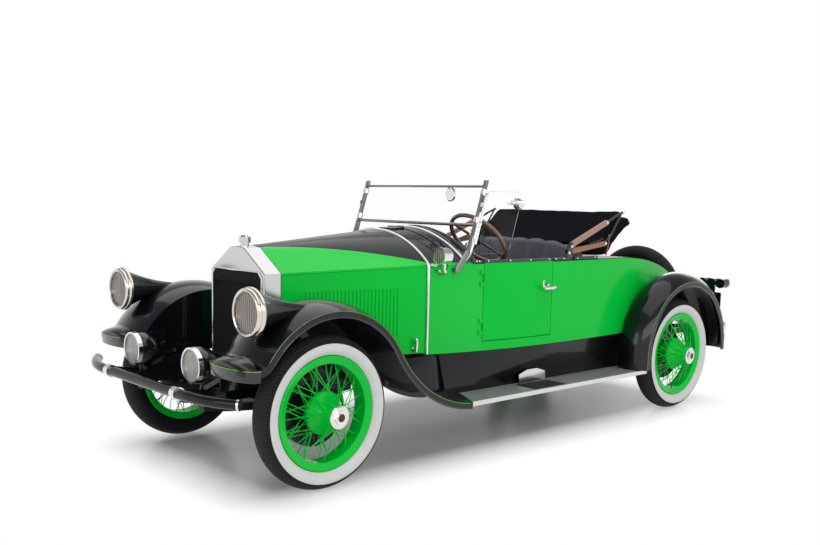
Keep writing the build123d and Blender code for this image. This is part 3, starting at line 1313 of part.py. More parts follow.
def pane_points(low, high):
    """Side corners of a screen pane between two heights, leaning with the posts."""
    corners = ((low, -PANE_HALF), (low, PANE_HALF), (high, PANE_HALF), (high, -PANE_HALF))
    return [(SCREEN_MID[0] + SCREEN_SLOPE * (z - SCREEN_MID[1]) + side, z) for z, side in corners]


with BuildPart() as windscreen_glass:
    low_z, high_z = SCREEN_MID[1] + 10 + SEAT_GAP, SCREEN_RAIL[1] - 8 - SEAT_GAP
    with BuildSketch(side_plane(0)):
        polygon(*pane_points(low_z, high_z))
    extrude(amount=POST_IN - 2, both=True)
with BuildPart() as lower_pane:
    low_z, high_z = BELT_Z, SCREEN_MID[1] - 10 - SEAT_GAP
    with BuildSketch(side_plane(0)):
        polygon(*pane_points(low_z, high_z))
    extrude(amount=POST_IN - 20, both=True)
    with BuildSketch(cross_plane(0)):
        with BuildLine():
            side_y, side_z, mid_z = POST_IN - 20, PANE_SIDE_Z, PANE_MID_Z
            ThreePointArc((-side_y, side_z), (0, mid_z), (side_y, side_z))
            Polyline((side_y, side_z), (side_y, 1500), (-side_y, 1500), (-side_y, side_z))
        make_face()
    extrude(amount=COWL_X, mode=Mode.INTERSECT)
with BuildPart() as wind_wings:
    with BuildSketch(WING_PLANE):
        polygon(*wing_points(
            (WING_EDGE, 0), (WING_EDGE + 200, 0), (WING_EDGE + 225, 30), (WING_EDGE + 225, 370),
            (WING_EDGE + 190, WING_TALL), (WING_EDGE, WING_TALL),
        ))
    extrude(amount=3, both=True)
    both_sides(wind_wings)
save(Compound(children=[windscreen_glass.part, lower_pane.part, *wind_wings.part.solids()]), "glass")

# Folded top and its bows
with BuildPart() as folded_top:
    with BuildSketch(side_plane(0)):
        polygon(*TOP_PROFILE)
    extrude(amount=TOP_HALF, both=True)
save(folded_top.part, "folded_top")
with BuildPart() as top_bows:
    with BuildSketch(side_plane(TOP_HALF + SEAT_GAP)):
        polygon((-440, BELT_Z + SEAT_GAP), (-500, BELT_Z + SEAT_GAP), (-515, 1262), (-470, 1262))
        for (ax, az), (bx, bz) in BOWS:
            length = hypot(bx - ax, bz - az)
            nx, nz = -(bz - az) / length * BOW_HALF, (bx - ax) / length * BOW_HALF
            polygon((ax + nx, az + nz), (bx + nx, bz + nz), (bx - nx, bz - nz), (ax - nx, az - nz))
    extrude(amount=-BOW_WIDE)
    both_sides(top_bows)
save(top_bows.part, "top_bows")

# Spare wheel behind the tail, on a carrier from the rear cross-member
spare_place = Location((SPARE_X, 0, SPARE_Z), (0, 0, 90))
save(tyre.part.moved(spare_place), "spare_tyre")
save(Compound(children=[wire_wheel.part.moved(spare_place), hub_cap.part.moved(spare_place)]), "spare_wheel")
with BuildPart() as spare_carrier:
    with BuildSketch(cross_plane(RAIL_END)):
        polygon(
            (-120, RAIL_TOP + SEAT_GAP), (120, RAIL_TOP + SEAT_GAP), (50, SPARE_Z + 40),
            (-50, SPARE_Z + 40),
        )
    extrude(amount=CARRIER_THICK)
    with BuildSketch(cross_plane(RAIL_END + CARRIER_THICK)):
        with Locations((0, SPARE_Z)):
            Circle(SPINDLE_RADIUS)
    extrude(amount=SPARE_X - HUB_OUTER + 10 - RAIL_END - CARRIER_THICK)
save(spare_carrier.part, "spare_carrier")

# Tail lamps: three drums over a blank plate holder, on an arm from the left rail
with BuildPart() as tail_lamps:
    with BuildSketch(Plane.XY.offset(TAIL_ARM_Z)):
        rail_out = RAIL_Y + RAIL_HALF + SEAT_GAP
        polygon(
            (-2090, rail_out), (-2140, rail_out), (-2140, 440), (TAIL_LAMP_X, 440),
            (TAIL_LAMP_X, 690), (TAIL_LAMP_X + 8, 690), (TAIL_LAMP_X + 8, 456), (-2120, 456),
            (-2090, 430),
        )
    extrude(amount=30)
    with BuildSketch(cross_plane(TAIL_LAMP_X)):
        with Locations((665, (TAIL_ARM_Z + TAIL_LAMP_Z) / 2)):
            Rectangle(50, TAIL_LAMP_Z - TAIL_ARM_Z)
        with Locations((665, TAIL_LAMP_Z)):
            Rectangle(220, 30)
        with Locations((595, 775)):
            RectangleRounded(300, 150, 12)
    extrude(amount=8)
    with BuildSketch(cross_plane(TAIL_LAMP_X - 55)):
        with Locations(*[(y, TAIL_LAMP_Z) for y in TAIL_LAMP_Y]):
            Circle(TAIL_LAMP_RADIUS)
    extrude(amount=85)
save(tail_lamps.part, "tail_lamps")

# Steering column and wheel
with BuildPart() as steering_column:
    with BuildSketch(Plane(origin=STEER_AT + STEER_DIR * 26, z_dir=STEER_DIR)):
        Circle(COLUMN_RADIUS)
    column_end = (COWL_X - 25 - SEAT_GAP - STEER_AT.X + COLUMN_RADIUS * STEER_DIR.Z) / STEER_DIR.X
    extrude(amount=column_end - 26)
    with BuildSketch(Plane(origin=STEER_AT - STEER_DIR * 6, z_dir=STEER_DIR)):
        Circle(12)
    extrude(amount=40)
save(steering_column.part, "steering_column")
with BuildPart() as steering_wheel:
    with Locations(Plane(origin=STEER_AT, z_dir=STEER_DIR)):
        Torus(STEER_RADIUS, STEER_RIM)
    with BuildSketch(Plane(origin=STEER_AT + STEER_DIR * 2, x_dir=(0, 1, 0), z_dir=STEER_DIR)):
        Rectangle(2 * STEER_RADIUS, 20, rotation=45)
        Rectangle(2 * STEER_RADIUS, 20, rotation=-45)
    extrude(amount=10)
    with BuildSketch(Plane(origin=STEER_AT - STEER_DIR * 22, z_dir=STEER_DIR)):
        Circle(36)
    extrude(amount=46)
    with BuildSketch(Plane(origin=STEER_AT - STEER_DIR * 7, z_dir=STEER_DIR)):
        Circle(12 + PIN_GAP)
    extrude(amount=60, mode=Mode.SUBTRACT)
save(steering_wheel.part, "steering_wheel")
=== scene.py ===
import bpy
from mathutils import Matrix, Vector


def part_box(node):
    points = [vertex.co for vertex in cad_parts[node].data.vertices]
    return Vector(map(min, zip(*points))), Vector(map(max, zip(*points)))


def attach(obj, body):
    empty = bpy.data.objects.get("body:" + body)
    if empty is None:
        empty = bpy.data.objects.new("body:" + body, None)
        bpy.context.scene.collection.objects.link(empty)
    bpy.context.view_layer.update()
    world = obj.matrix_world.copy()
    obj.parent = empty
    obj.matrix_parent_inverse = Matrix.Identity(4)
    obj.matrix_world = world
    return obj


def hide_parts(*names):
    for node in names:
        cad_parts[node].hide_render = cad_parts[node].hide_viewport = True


bl_info = {
    "name": "Open Roadster",
    "version": (1, 0, 0),
    "blender": (4, 5, 0),
    "location": "View3D > Sidebar > Roadster",
    "description": "Finishes, trim and upholstery of an open two-seat roadster, built round its CAD frame",
    "category": "Object",
}

from math import cos, pi, radians, sin, sqrt

import bmesh
import bpy
from mathutils import Matrix, Vector, noise

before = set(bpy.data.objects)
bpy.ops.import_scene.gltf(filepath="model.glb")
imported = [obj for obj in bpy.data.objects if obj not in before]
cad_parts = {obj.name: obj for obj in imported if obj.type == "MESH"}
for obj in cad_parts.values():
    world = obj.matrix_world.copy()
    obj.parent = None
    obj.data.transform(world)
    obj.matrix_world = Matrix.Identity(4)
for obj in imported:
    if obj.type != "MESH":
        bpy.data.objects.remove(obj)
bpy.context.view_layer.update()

CORNERS = ("front_left", "front_right", "rear_left", "rear_right")
SIDES = (("left", 1), ("right", -1))
# Places on the frame, in metres
HOOD_REAR_X, HOOD_FRONT_X = (corner.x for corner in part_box("hood_top_left"))
BELT_Z = 1.160
DECK_START_X, DECK_BEND = -1.070, 2.970
HUB_LENGTH = 0.1552
WIDE_X, QUARTER_X, TAIL_CORNER_X, COWL_X = -0.286, -0.700, -2.080, 0.755
BODY_HALF, COWL_HALF, TAIL_HALF, SHELL_HALF, WALL = 0.640, 0.500, 0.421, 0.286, 0.020
ARCH_X, ARCH_Z, ARCH_RADIUS = 1.715, 0.453, 0.480
FOOT_X, FOOT_Z, FOOT_RADIUS = 0.641, 1.0686, 0.757
REAR_ARCH_X, REAR_ARCH_Z, REAR_ARCH_RADIUS, REAR_LIP_Z = -1.690, 0.440, 0.495, 0.350
BEAD_Y, STRIPE_Y, STRIPE_RISE = 0.8465, 0.8488, 0.036
NOSE_X, NOSE_Y, NOSE_HALF, NOSE_REACH = 2.200, 0.645, 0.206, 0.086
BOARD_TOP = 0.345
SHELL_FRONT = 1.798
DASH_X, DASH_TOP, DASH_RISE = 0.400, 1.372, 0.204
SCREEN_MID, SCREEN_TOP, POST_Y = (0.413, 1.398), (0.326, 1.678), 0.572
COWL_KNEE_Z, COWL_SIDE_Z = 1.168, 1.150
HANDLE = (-0.250, 0.639, 0.985)
WING_TURN = (0, 0, radians(143.6))
LATCH_Z = 0.640
LEAD_START = Vector((0.652, 0.572, 1.160))
TAIL_LAMP_Y, TAIL_LAMP_Z = (0.585, 0.665, 0.745), 0.925
PLATE_PLACE = (-2.3219, 0.595, 0.775)
MAT_X = -0.12
STEERING_HUB, STEERING_WAY = Vector((0.130, 0.330, 1.300)), Vector((0.743, 0, -0.669)).normalized()
FAN_X, FAN_Z, BLADE_REACH = 1.5605, 0.830, 0.105
# Where a finish changes, from the first place to the second: radii on a tyre
WHITE_EDGE, RING_EDGE = (0.313, 0.316), (0.378, 0.384)
SHOULDER_EDGE, TREAD_EDGE = (0.386, 0.390), (0.396, 0.404)
# Heights of the cowl's arch and the low lamps, and how far the door's lever stands out
COWL_EDGE, LOW_LAMPS, LEVER_OFF = (1.1655, 1.1665), (0.80, 0.81), (0.6425, 0.643)
# The line between the top's bows, their iron ends and the inside of the steering rim
BOW_SPLIT, BOW_IRON, RIM_INSIDE = (1.139, 1.141), (-0.512, -0.508), (0.188, 0.190)
# Across the dashboard, height, radius in millimetres
DIALS = ((0.330, 1.205, 34), (0.110, 1.235, 45), (0.0, 1.235, 45), (-0.110, 1.235, 45), (-0.300, 1.205, 34))
# Side profiles of the soft goods as (x, z), inside the room of their solids
CUSHION_PROFILE = (
    (-0.510, 0.618), (-0.250, 0.618), (0.010, 0.618), (0.022, 0.660), (0.028, 0.720), (0.034, 0.775),
    (0.030, 0.812), (0.006, 0.836), (-0.060, 0.842), (-0.160, 0.838), (-0.260, 0.832), (-0.360, 0.826),
    (-0.460, 0.820), (-0.508, 0.806), (-0.516, 0.760), (-0.516, 0.680),
)
BACK_PROFILE = (
    (-0.752, 0.618), (-0.640, 0.618), (-0.530, 0.618), (-0.526, 0.700), (-0.526, 0.780), (-0.530, 0.836),
    (-0.548, 0.906), (-0.568, 0.980), (-0.588, 1.054), (-0.607, 1.124), (-0.624, 1.190), (-0.636, 1.242),
    (-0.654, 1.274), (-0.690, 1.287), (-0.726, 1.276), (-0.746, 1.236), (-0.754, 1.160), (-0.754, 1.000),
    (-0.754, 0.800),
)
TOP_FOLDS = (
    (-0.945, 1.168), (-0.880, 1.166), (-0.815, 1.168), (-0.808, 1.196), (-0.842, 1.236), (-0.808, 1.266),
    (-0.834, 1.286), (-0.866, 1.300), (-0.914, 1.340), (-0.964, 1.386), (-1.014, 1.434), (-1.056, 1.478),
    (-1.080, 1.498), (-1.106, 1.500), (-1.122, 1.482), (-1.116, 1.458), (-1.138, 1.452), (-1.172, 1.462),
    (-1.212, 1.452), (-1.240, 1.428), (-1.247, 1.404), (-1.224, 1.388), (-1.176, 1.364), (-1.122, 1.318),
    (-1.094, 1.310), (-1.066, 1.282), (-1.030, 1.252), (-0.998, 1.222), (-0.972, 1.190),
)
# Seat node, side profile, lowest and highest pleat, drop at the ends
SEAT_HALF = 0.555
SEATS = (
    ("seat_cushion", CUSHION_PROFILE, 0.70, 0.90, 0.018),
    ("seat_back", BACK_PROFILE, 0.80, 1.30, 0.060),
)
# Irons of the folded top as (x, z) points and a radius, and the places of their pins
TOP_HALF, TOP_IRON_Y = 0.600, 0.6165
TOP_IRONS = (
    (((-0.470, 1.182), (-0.560, 1.222), (-0.860, 1.300)), 0.006),
    (((-0.890, 1.410), (-1.000, 1.458), (-1.085, 1.488)), 0.0085),
    (((-0.880, 1.266), (-0.960, 1.330), (-1.070, 1.480)), 0.007),
)
TOP_PINS = ((-0.470, 1.208), (-0.497, 1.252), (-0.882, 1.266), (-0.893, 1.413), (-1.082, 1.486))
# Rolls along the cockpit's edge: name, body, front end, rear end
ROLLS = (
    ("cowl_roll_{}", "chassis", 0.425, 0.345),
    ("door_roll_{}", "door_{}", 0.333, -0.276),
    ("quarter_roll_{}", "chassis", -0.288, -0.432),
    ("rear_roll_{}", "chassis", -0.524, -0.784),
)


def colour_choice(name, description, default):
    """A colour that the panel shows."""
    return bpy.props.FloatVectorProperty(
        name=name, description=description, subtype="COLOR", size=3, default=default, min=0, max=1)


def length_choice(name, description, default):
    """A length that the panel shows."""
    return bpy.props.FloatProperty(name=name, description=description, unit="LENGTH", default=default)


class RoadsterColours(bpy.types.PropertyGroup):
    """The colours that a user would repaint."""

    body: colour_choice("Body", "Lacquer of the body sides and wheels", (0.0, 0.66, 0.055))
    fender: colour_choice("Fenders", "Lacquer of fenders, deck and cowl top", (0.0035, 0.004, 0.006))
    whitewall: colour_choice("Whitewall", "Band on the tyres' sides", (0.82, 0.83, 0.81))
    leather: colour_choice("Leather", "Seats and coaming", (0.036, 0.040, 0.050))
    cloth: colour_choice("Top cloth", "Folded top", (0.0035, 0.0035, 0.0055))
    timber: colour_choice("Timber", "Bows and steering rim", (0.36, 0.13, 0.035))
    stripe: colour_choice("Stripe", "Pin stripe along the fenders", (0.20, 0.52, 0.05))
    floor: colour_choice("Studio floor", "Floor under the car", (0.86, 0.86, 0.86))


class RoadsterSizes(bpy.types.PropertyGroup):
    """The sizes of trim that a user would change."""

    whitewall_radius: length_choice("Whitewall radius", "Outer edge of the white band", 0.376)
    stripe_width: length_choice("Stripe width", "Pin stripe on the fenders", 0.004)
    coaming_radius: length_choice("Coaming radius", "Half thickness of the leather roll", 0.013)
    pleat_pitch: length_choice("Pleat pitch", "Distance between the seat's pleats", 0.16)


def arithmetic(operation, reflected=False):
    """A Python operator of Value that adds a Math node."""

    def method(self, other):
        first, second = (other, self) if reflected else (self, other)
        return self.finish.node("ShaderNodeMath", {"operation": operation}, {0: first, 1: second})

    return method


class Value:
    """A shader socket that takes part in Python arithmetic."""

    __add__, __radd__ = arithmetic("ADD"), arithmetic("ADD", True)
    __sub__, __rsub__ = arithmetic("SUBTRACT"), arithmetic("SUBTRACT", True)
    __mul__, __rmul__ = arithmetic("MULTIPLY"), arithmetic("MULTIPLY", True)
    __truediv__, __gt__ = arithmetic("DIVIDE"), arithmetic("GREATER_THAN")

    def __init__(self, finish, socket):
        self.finish = finish
        self.socket = socket

    def __abs__(self):
        return self.math("ABSOLUTE")

    def math(self, operation, *others):
        values = dict(enumerate((self, *others)))
        return self.finish.node("ShaderNodeMath", {"operation": operation}, values)

    def root(self):
        return self.math("SQRT")

    def wave(self):
        return self.math("SINE")

    def above_zero(self):
        return self.math("MAXIMUM", 0.0)

    def step(self, low, high):
        """0 below low, 1 above high and straight between them."""
        return self.finish.node(
            "ShaderNodeMapRange", {"clamp": True}, {"Value": self, "From Min": low, "From Max": high})


class Finish:
    """A material on a Principled shader, with methods for its nodes."""

    def __init__(self, name, **sockets):
        self.material = bpy.data.materials.new(name)
        self.material.use_nodes = True
        self.tree = self.material.node_tree
        self.shader = self.tree.nodes["Principled BSDF"]
        for socket, value in sockets.items():
            self.set(socket.replace("_", " "), value)

    def link(self, socket, value):
        if isinstance(value, Value):
            self.tree.links.new(value.socket, socket)
        elif isinstance(value, bpy.types.NodeSocket):
            self.tree.links.new(value, socket)
        elif hasattr(socket.default_value, "__len__") and len(socket.default_value) == 4 and len(value) == 3:
            socket.default_value = (*value, 1)
        else:
            socket.default_value = value

    def set(self, socket, value):
        self.link(self.shader.inputs[socket], value)
        return self

    def base(self):
        """The colour that feeds the shader so far."""
        return Value(self, self.shader.inputs["Base Color"].links[0].from_socket)

    def node(self, kind, settings, inputs, output=0):
        node = self.tree.nodes.new(kind)
        for key, value in settings.items():
            setattr(node, key, value)
        for key, value in inputs.items():
            self.link(node.inputs[key], value)
        return Value(self, node.outputs[output])

    def place(self, shift=(0, 0, 0), scale=(1, 1, 1)):
        """Object coordinates, moved so that shift is the origin."""
        point = self.node("ShaderNodeTexCoord", {}, {}, "Object")
        moved = [-s * k for s, k in zip(shift, scale)]
        return self.node("ShaderNodeMapping", {}, {"Vector": point, "Location": moved, "Scale": scale})

    def axes(self, shift=(0, 0, 0)):
        """The x, y and z of the object coordinates as values."""
        point = self.place(shift)
        return [self.node("ShaderNodeSeparateXYZ", {}, {"Vector": point}, axis) for axis in "XYZ"]

    def wheel(self, centre, across):
        """The way along a wheel's axle, the pair of ways across it and the radius."""
        place = self.axes(centre)
        along = place.pop(across)
        first, second = place
        return along, (first, second), (first * first + second * second).root()

    def noise(self, scale, detail=3, stretch=(1, 1, 1)):
        return self.node(
            "ShaderNodeTexNoise", {}, {"Vector": self.place(scale=stretch), "Scale": scale, "Detail": detail})

    def mix(self, mask, low, high):
        """A colour that goes from low to high as the mask rises."""
        return self.node("ShaderNodeMix", {"data_type": "RGBA"}, {0: mask, 6: low, 7: high}, 2)

    def worn(self, mask, low, high, rough, more):
        """Colour from low to high, and more roughness, as the mask rises."""
        self.set("Base Color", self.mix(mask, low, high))
        return self.set("Roughness", rough + more * mask)

    def bump(self, height, depth, strength=1.0):
        inputs = {"Height": height, "Distance": depth, "Strength": strength}
        return self.set("Normal", self.node("ShaderNodeBump", {}, inputs))


def shade(colour, factor):
    """A colour made lighter or darker."""
    return [min(1, c * factor) for c in colour]


def lacquer(name, colour, second=None, where=None, gloss=1.0):
    """Deep lacquer under clear coat, in one colour or two."""
    finish = Finish(name, Coat_Weight=gloss, Coat_Roughness=0.04, IOR=1.5, Specular_IOR_Level=0.3 * gloss)
    drift = finish.noise(1.7)
    base = finish.mix(drift, shade(colour, 0.95), shade(colour, 1.05))
    if second is not None:
        dark = finish.mix(drift, shade(second, 0.9), shade(second, 1.1))
        base = finish.mix(where(finish), base, dark)
    finish.set("Base Color", base)
    finish.set("Roughness", 0.20 + 0.10 * finish.noise(38, 4))
    return finish.bump(finish.noise(260, 2), 0.00006, 0.35)


def bright_metal(name, tint=(0.80, 0.80, 0.78), rough=0.07):
    """Polished nickel with faint wiping marks."""
    finish = Finish(name, Metallic=1.0)
    wipe = finish.noise(60, 5, (1, 1, 6))
    finish.worn(wipe, shade(tint, 0.92), shade(tint, 1.04), rough, 0.09)
    return finish.bump(finish.noise(420, 2), 0.00004, 0.3)


def satin_metal(name, tint, rough=0.38):
    """Brushed or painted metal of the running gear."""
    finish = Finish(name, Metallic=0.75)
    grain = finish.noise(90, 6, (1, 8, 1))
    finish.worn(grain, shade(tint, 0.7), shade(tint, 1.2), rough, 0.2)
    return finish.bump(grain, 0.0003, 0.3)


def rough_iron(name, tint, metal=0.3):
    """Sand-cast iron under thin enamel, or rubber where nothing is metal."""
    finish = Finish(name, Metallic=metal)
    sand = finish.noise(240, 6)
    finish.worn(sand, shade(tint, 0.7), shade(tint, 1.3), 0.5, 0.3)
    return finish.bump(sand, 0.0008, 0.5)


def tyre_rubber(name, centre, across, faces, colours, sizes):
    """Black rubber with a white side band, a fine tread and moulded rings.

    centre is the wheel's middle, across the index of its axle's axis, and faces the side
    that carries the white band, 1 or -1.
    """
    finish = Finish(name, Specular_IOR_Level=0.3)
    along, (first, second), radius = finish.wheel(centre, across)
    turn = first.math("ARCTAN2", second)
    edge = sizes.whitewall_radius
    white = radius.step(*WHITE_EDGE) * (1 - radius.step(edge, edge + 0.002)) * (along * faces > 0)
    scuff = finish.noise(26, 5)
    clean = finish.mix(scuff, shade(colours.whitewall, 0.9), colours.whitewall)
    finish.set("Roughness", 0.62 + 0.22 * scuff)
    tread = radius.step(*TREAD_EDGE)
    blocks = (turn * 96 + abs(along) * 260).wave() > 0.55
    ribs = (along * 330).wave() > 0.35
    shoulder = ((turn * 110).wave() > 0.1) * radius.step(*SHOULDER_EDGE) * (1 - tread)
    rings = ((radius * 620).wave() > 0.7) * radius.step(*RING_EDGE) * (1 - tread)
    relief = tread * (1 - 0.6 * blocks - 0.4 * ribs) + 0.25 * rings + 0.7 * shoulder
    # Painted shade: the rubber is darker where the relief is low, in the tread's grooves and between the
    # rings and shoulder blocks, and lighter on the raised parts.
    black = finish.mix(relief, (0.003, 0.003, 0.003), (0.022, 0.022, 0.023))
    finish.set("Base Color", finish.mix(white, black, clean))
    return finish.bump(relief, 0.010, 1.0)


def grained_leather(name, colour):
    """Leather with pebbled grain and soft sheen on its high places."""
    finish = Finish(name, Specular_IOR_Level=0.5)
    inputs = {"Vector": finish.place(), "Scale": 420}
    grain = finish.node("ShaderNodeTexVoronoi", {"feature": "DISTANCE_TO_EDGE"}, inputs)
    wear = finish.noise(6, 5)
    finish.worn(wear, shade(colour, 0.75), shade(colour, 1.8), 0.34, 0.22)
    return finish.bump(grain + 0.5 * finish.noise(30, 4), 0.0007, 0.5)


def woven_cloth(name, colour):
    """Rubberised top cloth with a plain weave."""
    finish = Finish(name, Specular_IOR_Level=0.05)
    x, y, z = finish.axes()
    weave = ((x + z) * 2200).wave() * (y * 2200).wave()
    fade = finish.noise(5, 6)
    finish.worn(fade, shade(colour, 0.7), shade(colour, 2.4), 0.70, 0.2)
    return finish.bump(weave + 2.0 * finish.noise(24, 5), 0.0006, 0.5)


def varnished_timber(name, colour, stretch):
    """Varnished ash with grain drawn out along the given axis."""
    finish = Finish(name, Coat_Weight=0.6, Coat_Roughness=0.12)
    grain = finish.noise(34, 8, stretch)
    inputs = {"Vector": finish.place(scale=stretch), "Scale": 9.0, "Distortion": 7.0, "Detail": 3.0}
    rings = finish.node("ShaderNodeTexWave", {"wave_type": "BANDS"}, inputs, "Fac")
    finish.set("Base Color", finish.mix(0.6 * grain + 0.4 * rings, shade(colour, 0.45), shade(colour, 1.25)))
    finish.set("Roughness", 0.32 + 0.2 * grain)
    return finish.bump(grain, 0.0004, 0.3)


def bow_timber(name, colour):
    """Timber of the top's bows, the upper one paler, with iron at their front ends."""
    finish = varnished_timber(name, colour, (1, 6, 6))
    x, _, z = finish.axes()
    upper = (z + x * 0.22).step(*BOW_SPLIT)
    pale = finish.mix(upper, finish.base(), (0.40, 0.20, 0.14))
    return finish.set("Base Color", finish.mix(x.step(*BOW_IRON), pale, (0.008, 0.008, 0.009)))


def rim_timber(name, colour):
    """Timber of the steering wheel's rim, with dark metal inside it."""
    finish = varnished_timber(name, colour, (3, 3, 3))
    x, y, z = finish.axes(middle_of("steering_wheel"))
    spokes = 1 - (x * x + y * y + z * z).root().step(*RIM_INSIDE)
    return finish.set("Base Color", finish.mix(spokes, finish.base(), (0.012, 0.012, 0.013)))


def fluted_glass(name):
    """Lamp glass with upright flutes, paler in the low driving lamps."""
    finish = Finish(name, Transmission_Weight=0.35, Roughness=0.08, IOR=1.45)
    _, y, z = finish.axes()
    flute = abs((y * 165).wave())
    # Painted glints: the headlamp glass is painted lighter on the flutes' crests and darker between them.
    warm = finish.mix(flute.step(0.2, 0.95), (0.16, 0.135, 0.125), (0.52, 0.47, 0.44))
    pale = finish.mix(finish.noise(45, 4), (0.42, 0.42, 0.39), (0.72, 0.73, 0.70))
    finish.set("Base Color", finish.mix(z.step(*LOW_LAMPS), pale, warm))
    return finish.bump(flute, 0.002, 0.5)


def clear_glass(name):
    """Plate glass with a faint green body and thin smears."""
    finish = Finish(name, Transmission_Weight=1.0, IOR=1.10)
    smear = finish.noise(7, 6)
    finish.worn(smear, (0.96, 0.985, 0.97), (1.0, 1.0, 1.0), 0.01, 0.02)
    return finish.bump(finish.noise(3, 2), 0.0002, 0.05)


def cellular_core(name):
    """Radiator core: rows of small cells painted near-black as the shade in their depth, behind thin dark
    fins.
    """
    finish = Finish(name, Metallic=0.2, Specular_IOR_Level=0.2)
    _, y, z = finish.axes()
    cells = abs((y * 420).wave()) * abs((z * 420).wave())
    open_cell = cells.step(0.12, 0.4)
    # Painted shade: the open cells are painted near-black for the shade inside them, and the fins a little
    # lighter.
    finish.worn(open_cell, (0.016, 0.016, 0.017), (0.002, 0.002, 0.002), 0.42, 0.3)
    return finish.bump(1 - open_cell, 0.004, 0.8)


def worn_board(name):
    """Pale metal sheet of the running boards."""
    finish = Finish(name, Metallic=0.35)
    wear = finish.noise(18, 6)
    finish.worn(wear, (0.27, 0.285, 0.275), (0.42, 0.435, 0.425), 0.34, 0.25)
    return finish.bump(finish.noise(300, 3), 0.0003, 0.4)


def black_hood_top(finish):
    """1 on the hood's crown and 0 on the facets that fall to the shoulder."""
    x, y, _ = finish.axes()
    back = (HOOD_FRONT_X - x) / (HOOD_FRONT_X - HOOD_REAR_X)
    return (0.072 + back.math("POWER", 1.3) * 0.412 - abs(y)).step(0, 0.001)


def black_cowl_top(finish):
    """1 on the cowl's arch and on its walls inside."""
    z = finish.axes()[2]
    return z.step(*COWL_EDGE).math("MAXIMUM", inside_body(finish))


def black_deck(finish):
    """1 on the deck's top skin and on the cockpit's walls, 0 on the body's sides."""
    x, _, z = finish.axes()
    behind = (x - DECK_START_X).math("MINIMUM", 0.0)
    skin = BELT_Z - behind * behind / (2 * DECK_BEND)
    top = (z - skin).step(-0.006, -0.005)
    return top.math("MAXIMUM", inside_body(finish) * x.step(-1.05, -1.04))


def inside_body(finish):
    """1 on the walls that face the cockpit."""
    x, y, _ = finish.axes()
    back = (x - WIDE_X).above_zero()
    plan = BODY_HALF - back * back * ((BODY_HALF - COWL_HALF) / (COWL_X - WIDE_X) ** 2)
    return (plan - WALL - abs(y)).step(0, 0.001)


def capped_wheel(name, centre, across, side, colour):
    """Wheel lacquer, with a nickel hub cap that has a brown enamel centre."""
    finish = lacquer(name, colour, gloss=0.25)
    along, _, radius = finish.wheel(centre, across)
    along = along * side
    cap = along.step(HUB_LENGTH, HUB_LENGTH + 0.0002)
    eye = along.step(HUB_LENGTH + 0.0185, HUB_LENGTH + 0.0187) * (1 - radius.step(0.0215, 0.022))
    metal = cap * (1 - eye)
    base = finish.mix(cap, finish.base(), (0.78, 0.77, 0.74))
    finish.set("Base Color", finish.mix(eye, base, (0.10, 0.045, 0.018)))
    finish.set("Metallic", metal)
    return finish.set("Roughness", 0.22 - 0.12 * metal + 0.08 * finish.noise(38, 4))


def bullet_lamp(name, front, rim):
    """A lamp with a black bullet back and a nickel rim."""
    finish = lacquer(name, (0.008, 0.008, 0.009), gloss=0.8)
    x = finish.axes()[0]
    metal = x.step(front - rim, front - rim + 0.0005)
    finish.set("Base Color", finish.mix(metal, finish.base(), (0.74, 0.73, 0.70)))
    finish.set("Metallic", metal)
    return finish.set("Roughness", 0.20 - 0.08 * metal + 0.06 * finish.noise(38, 4))


def handled_door(name, colour):
    """Door lacquer, dark inside, with the lever that stands off its skin in nickel."""
    finish = lacquer(name, colour, gloss=0.16)
    y = finish.axes()[1]
    metal = abs(y).step(*LEVER_OFF)
    lined = finish.mix(inside_body(finish), finish.base(), (0.010, 0.011, 0.014))
    finish.set("Base Color", finish.mix(metal, lined, (0.80, 0.79, 0.77)))
    return finish.set("Metallic", metal)


def leafed_steel(name, tint):
    """Spring steel with the lines between its leaves."""
    finish = satin_metal(name, tint)
    z = finish.axes()[2]
    return finish.bump((z * 780).wave() > 0.4, 0.004, 0.7)


def middle_of(node):
    """The middle of a CAD node's box."""
    low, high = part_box(node)
    return (low + high) / 2


def pick(piece):
    """Select one object alone and make it active."""
    bpy.ops.object.select_all(action="DESELECT")
    piece.select_set(True)
    bpy.context.view_layer.objects.active = piece


def fix(piece):
    """Put an object's place, turn and scale into its mesh."""
    pick(piece)
    bpy.ops.object.transform_apply(location=True, rotation=True, scale=True)


def settle(piece, finish, body="chassis", replaces=(), angle=35):
    """Fix a piece's place in its mesh, tidy it, dress it and tie it to its body."""
    fix(piece)
    bpy.ops.object.mode_set(mode="EDIT")
    bpy.ops.mesh.select_all(action="SELECT")
    bpy.ops.mesh.remove_doubles(threshold=0.00002)
    bpy.ops.mesh.normals_make_consistent(inside=False)
    bpy.ops.object.mode_set(mode="OBJECT")
    bpy.ops.object.shade_smooth_by_angle(angle=radians(angle))
    piece.data.materials.clear()
    piece.data.materials.append(finish.material)
    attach(piece, body)
    if replaces:
        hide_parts(*replaces)
    return piece


def turned(name, profile, place, axis, sides=32):
    """A piece turned on a lathe: (radius, height) steps in millimetres, then set along an axis."""
    profile = [(wide / 1000, high / 1000) for wide, high in profile]
    bpy.ops.object.select_all(action="DESELECT")
    bpy.ops.mesh.primitive_circle_add(
        vertices=sides, radius=profile[0][0], fill_type="NGON", location=(0, 0, profile[0][1]))
    piece = bpy.context.object
    piece.name = name
    bpy.ops.object.mode_set(mode="EDIT")
    bpy.ops.mesh.select_all(action="SELECT")
    for (wide, low), (next_wide, high) in zip(profile, profile[1:]):
        bpy.ops.mesh.extrude_region_move(TRANSFORM_OT_translate={"value": (0, 0, high - low)})
        bpy.ops.transform.resize(value=(next_wide / wide, next_wide / wide, 1))
    bpy.ops.object.mode_set(mode="OBJECT")
    turn = Vector(axis).to_track_quat("Z", "Y").to_matrix().to_4x4()
    piece.matrix_world = Matrix.Translation(place) @ turn @ piece.matrix_world
    return piece


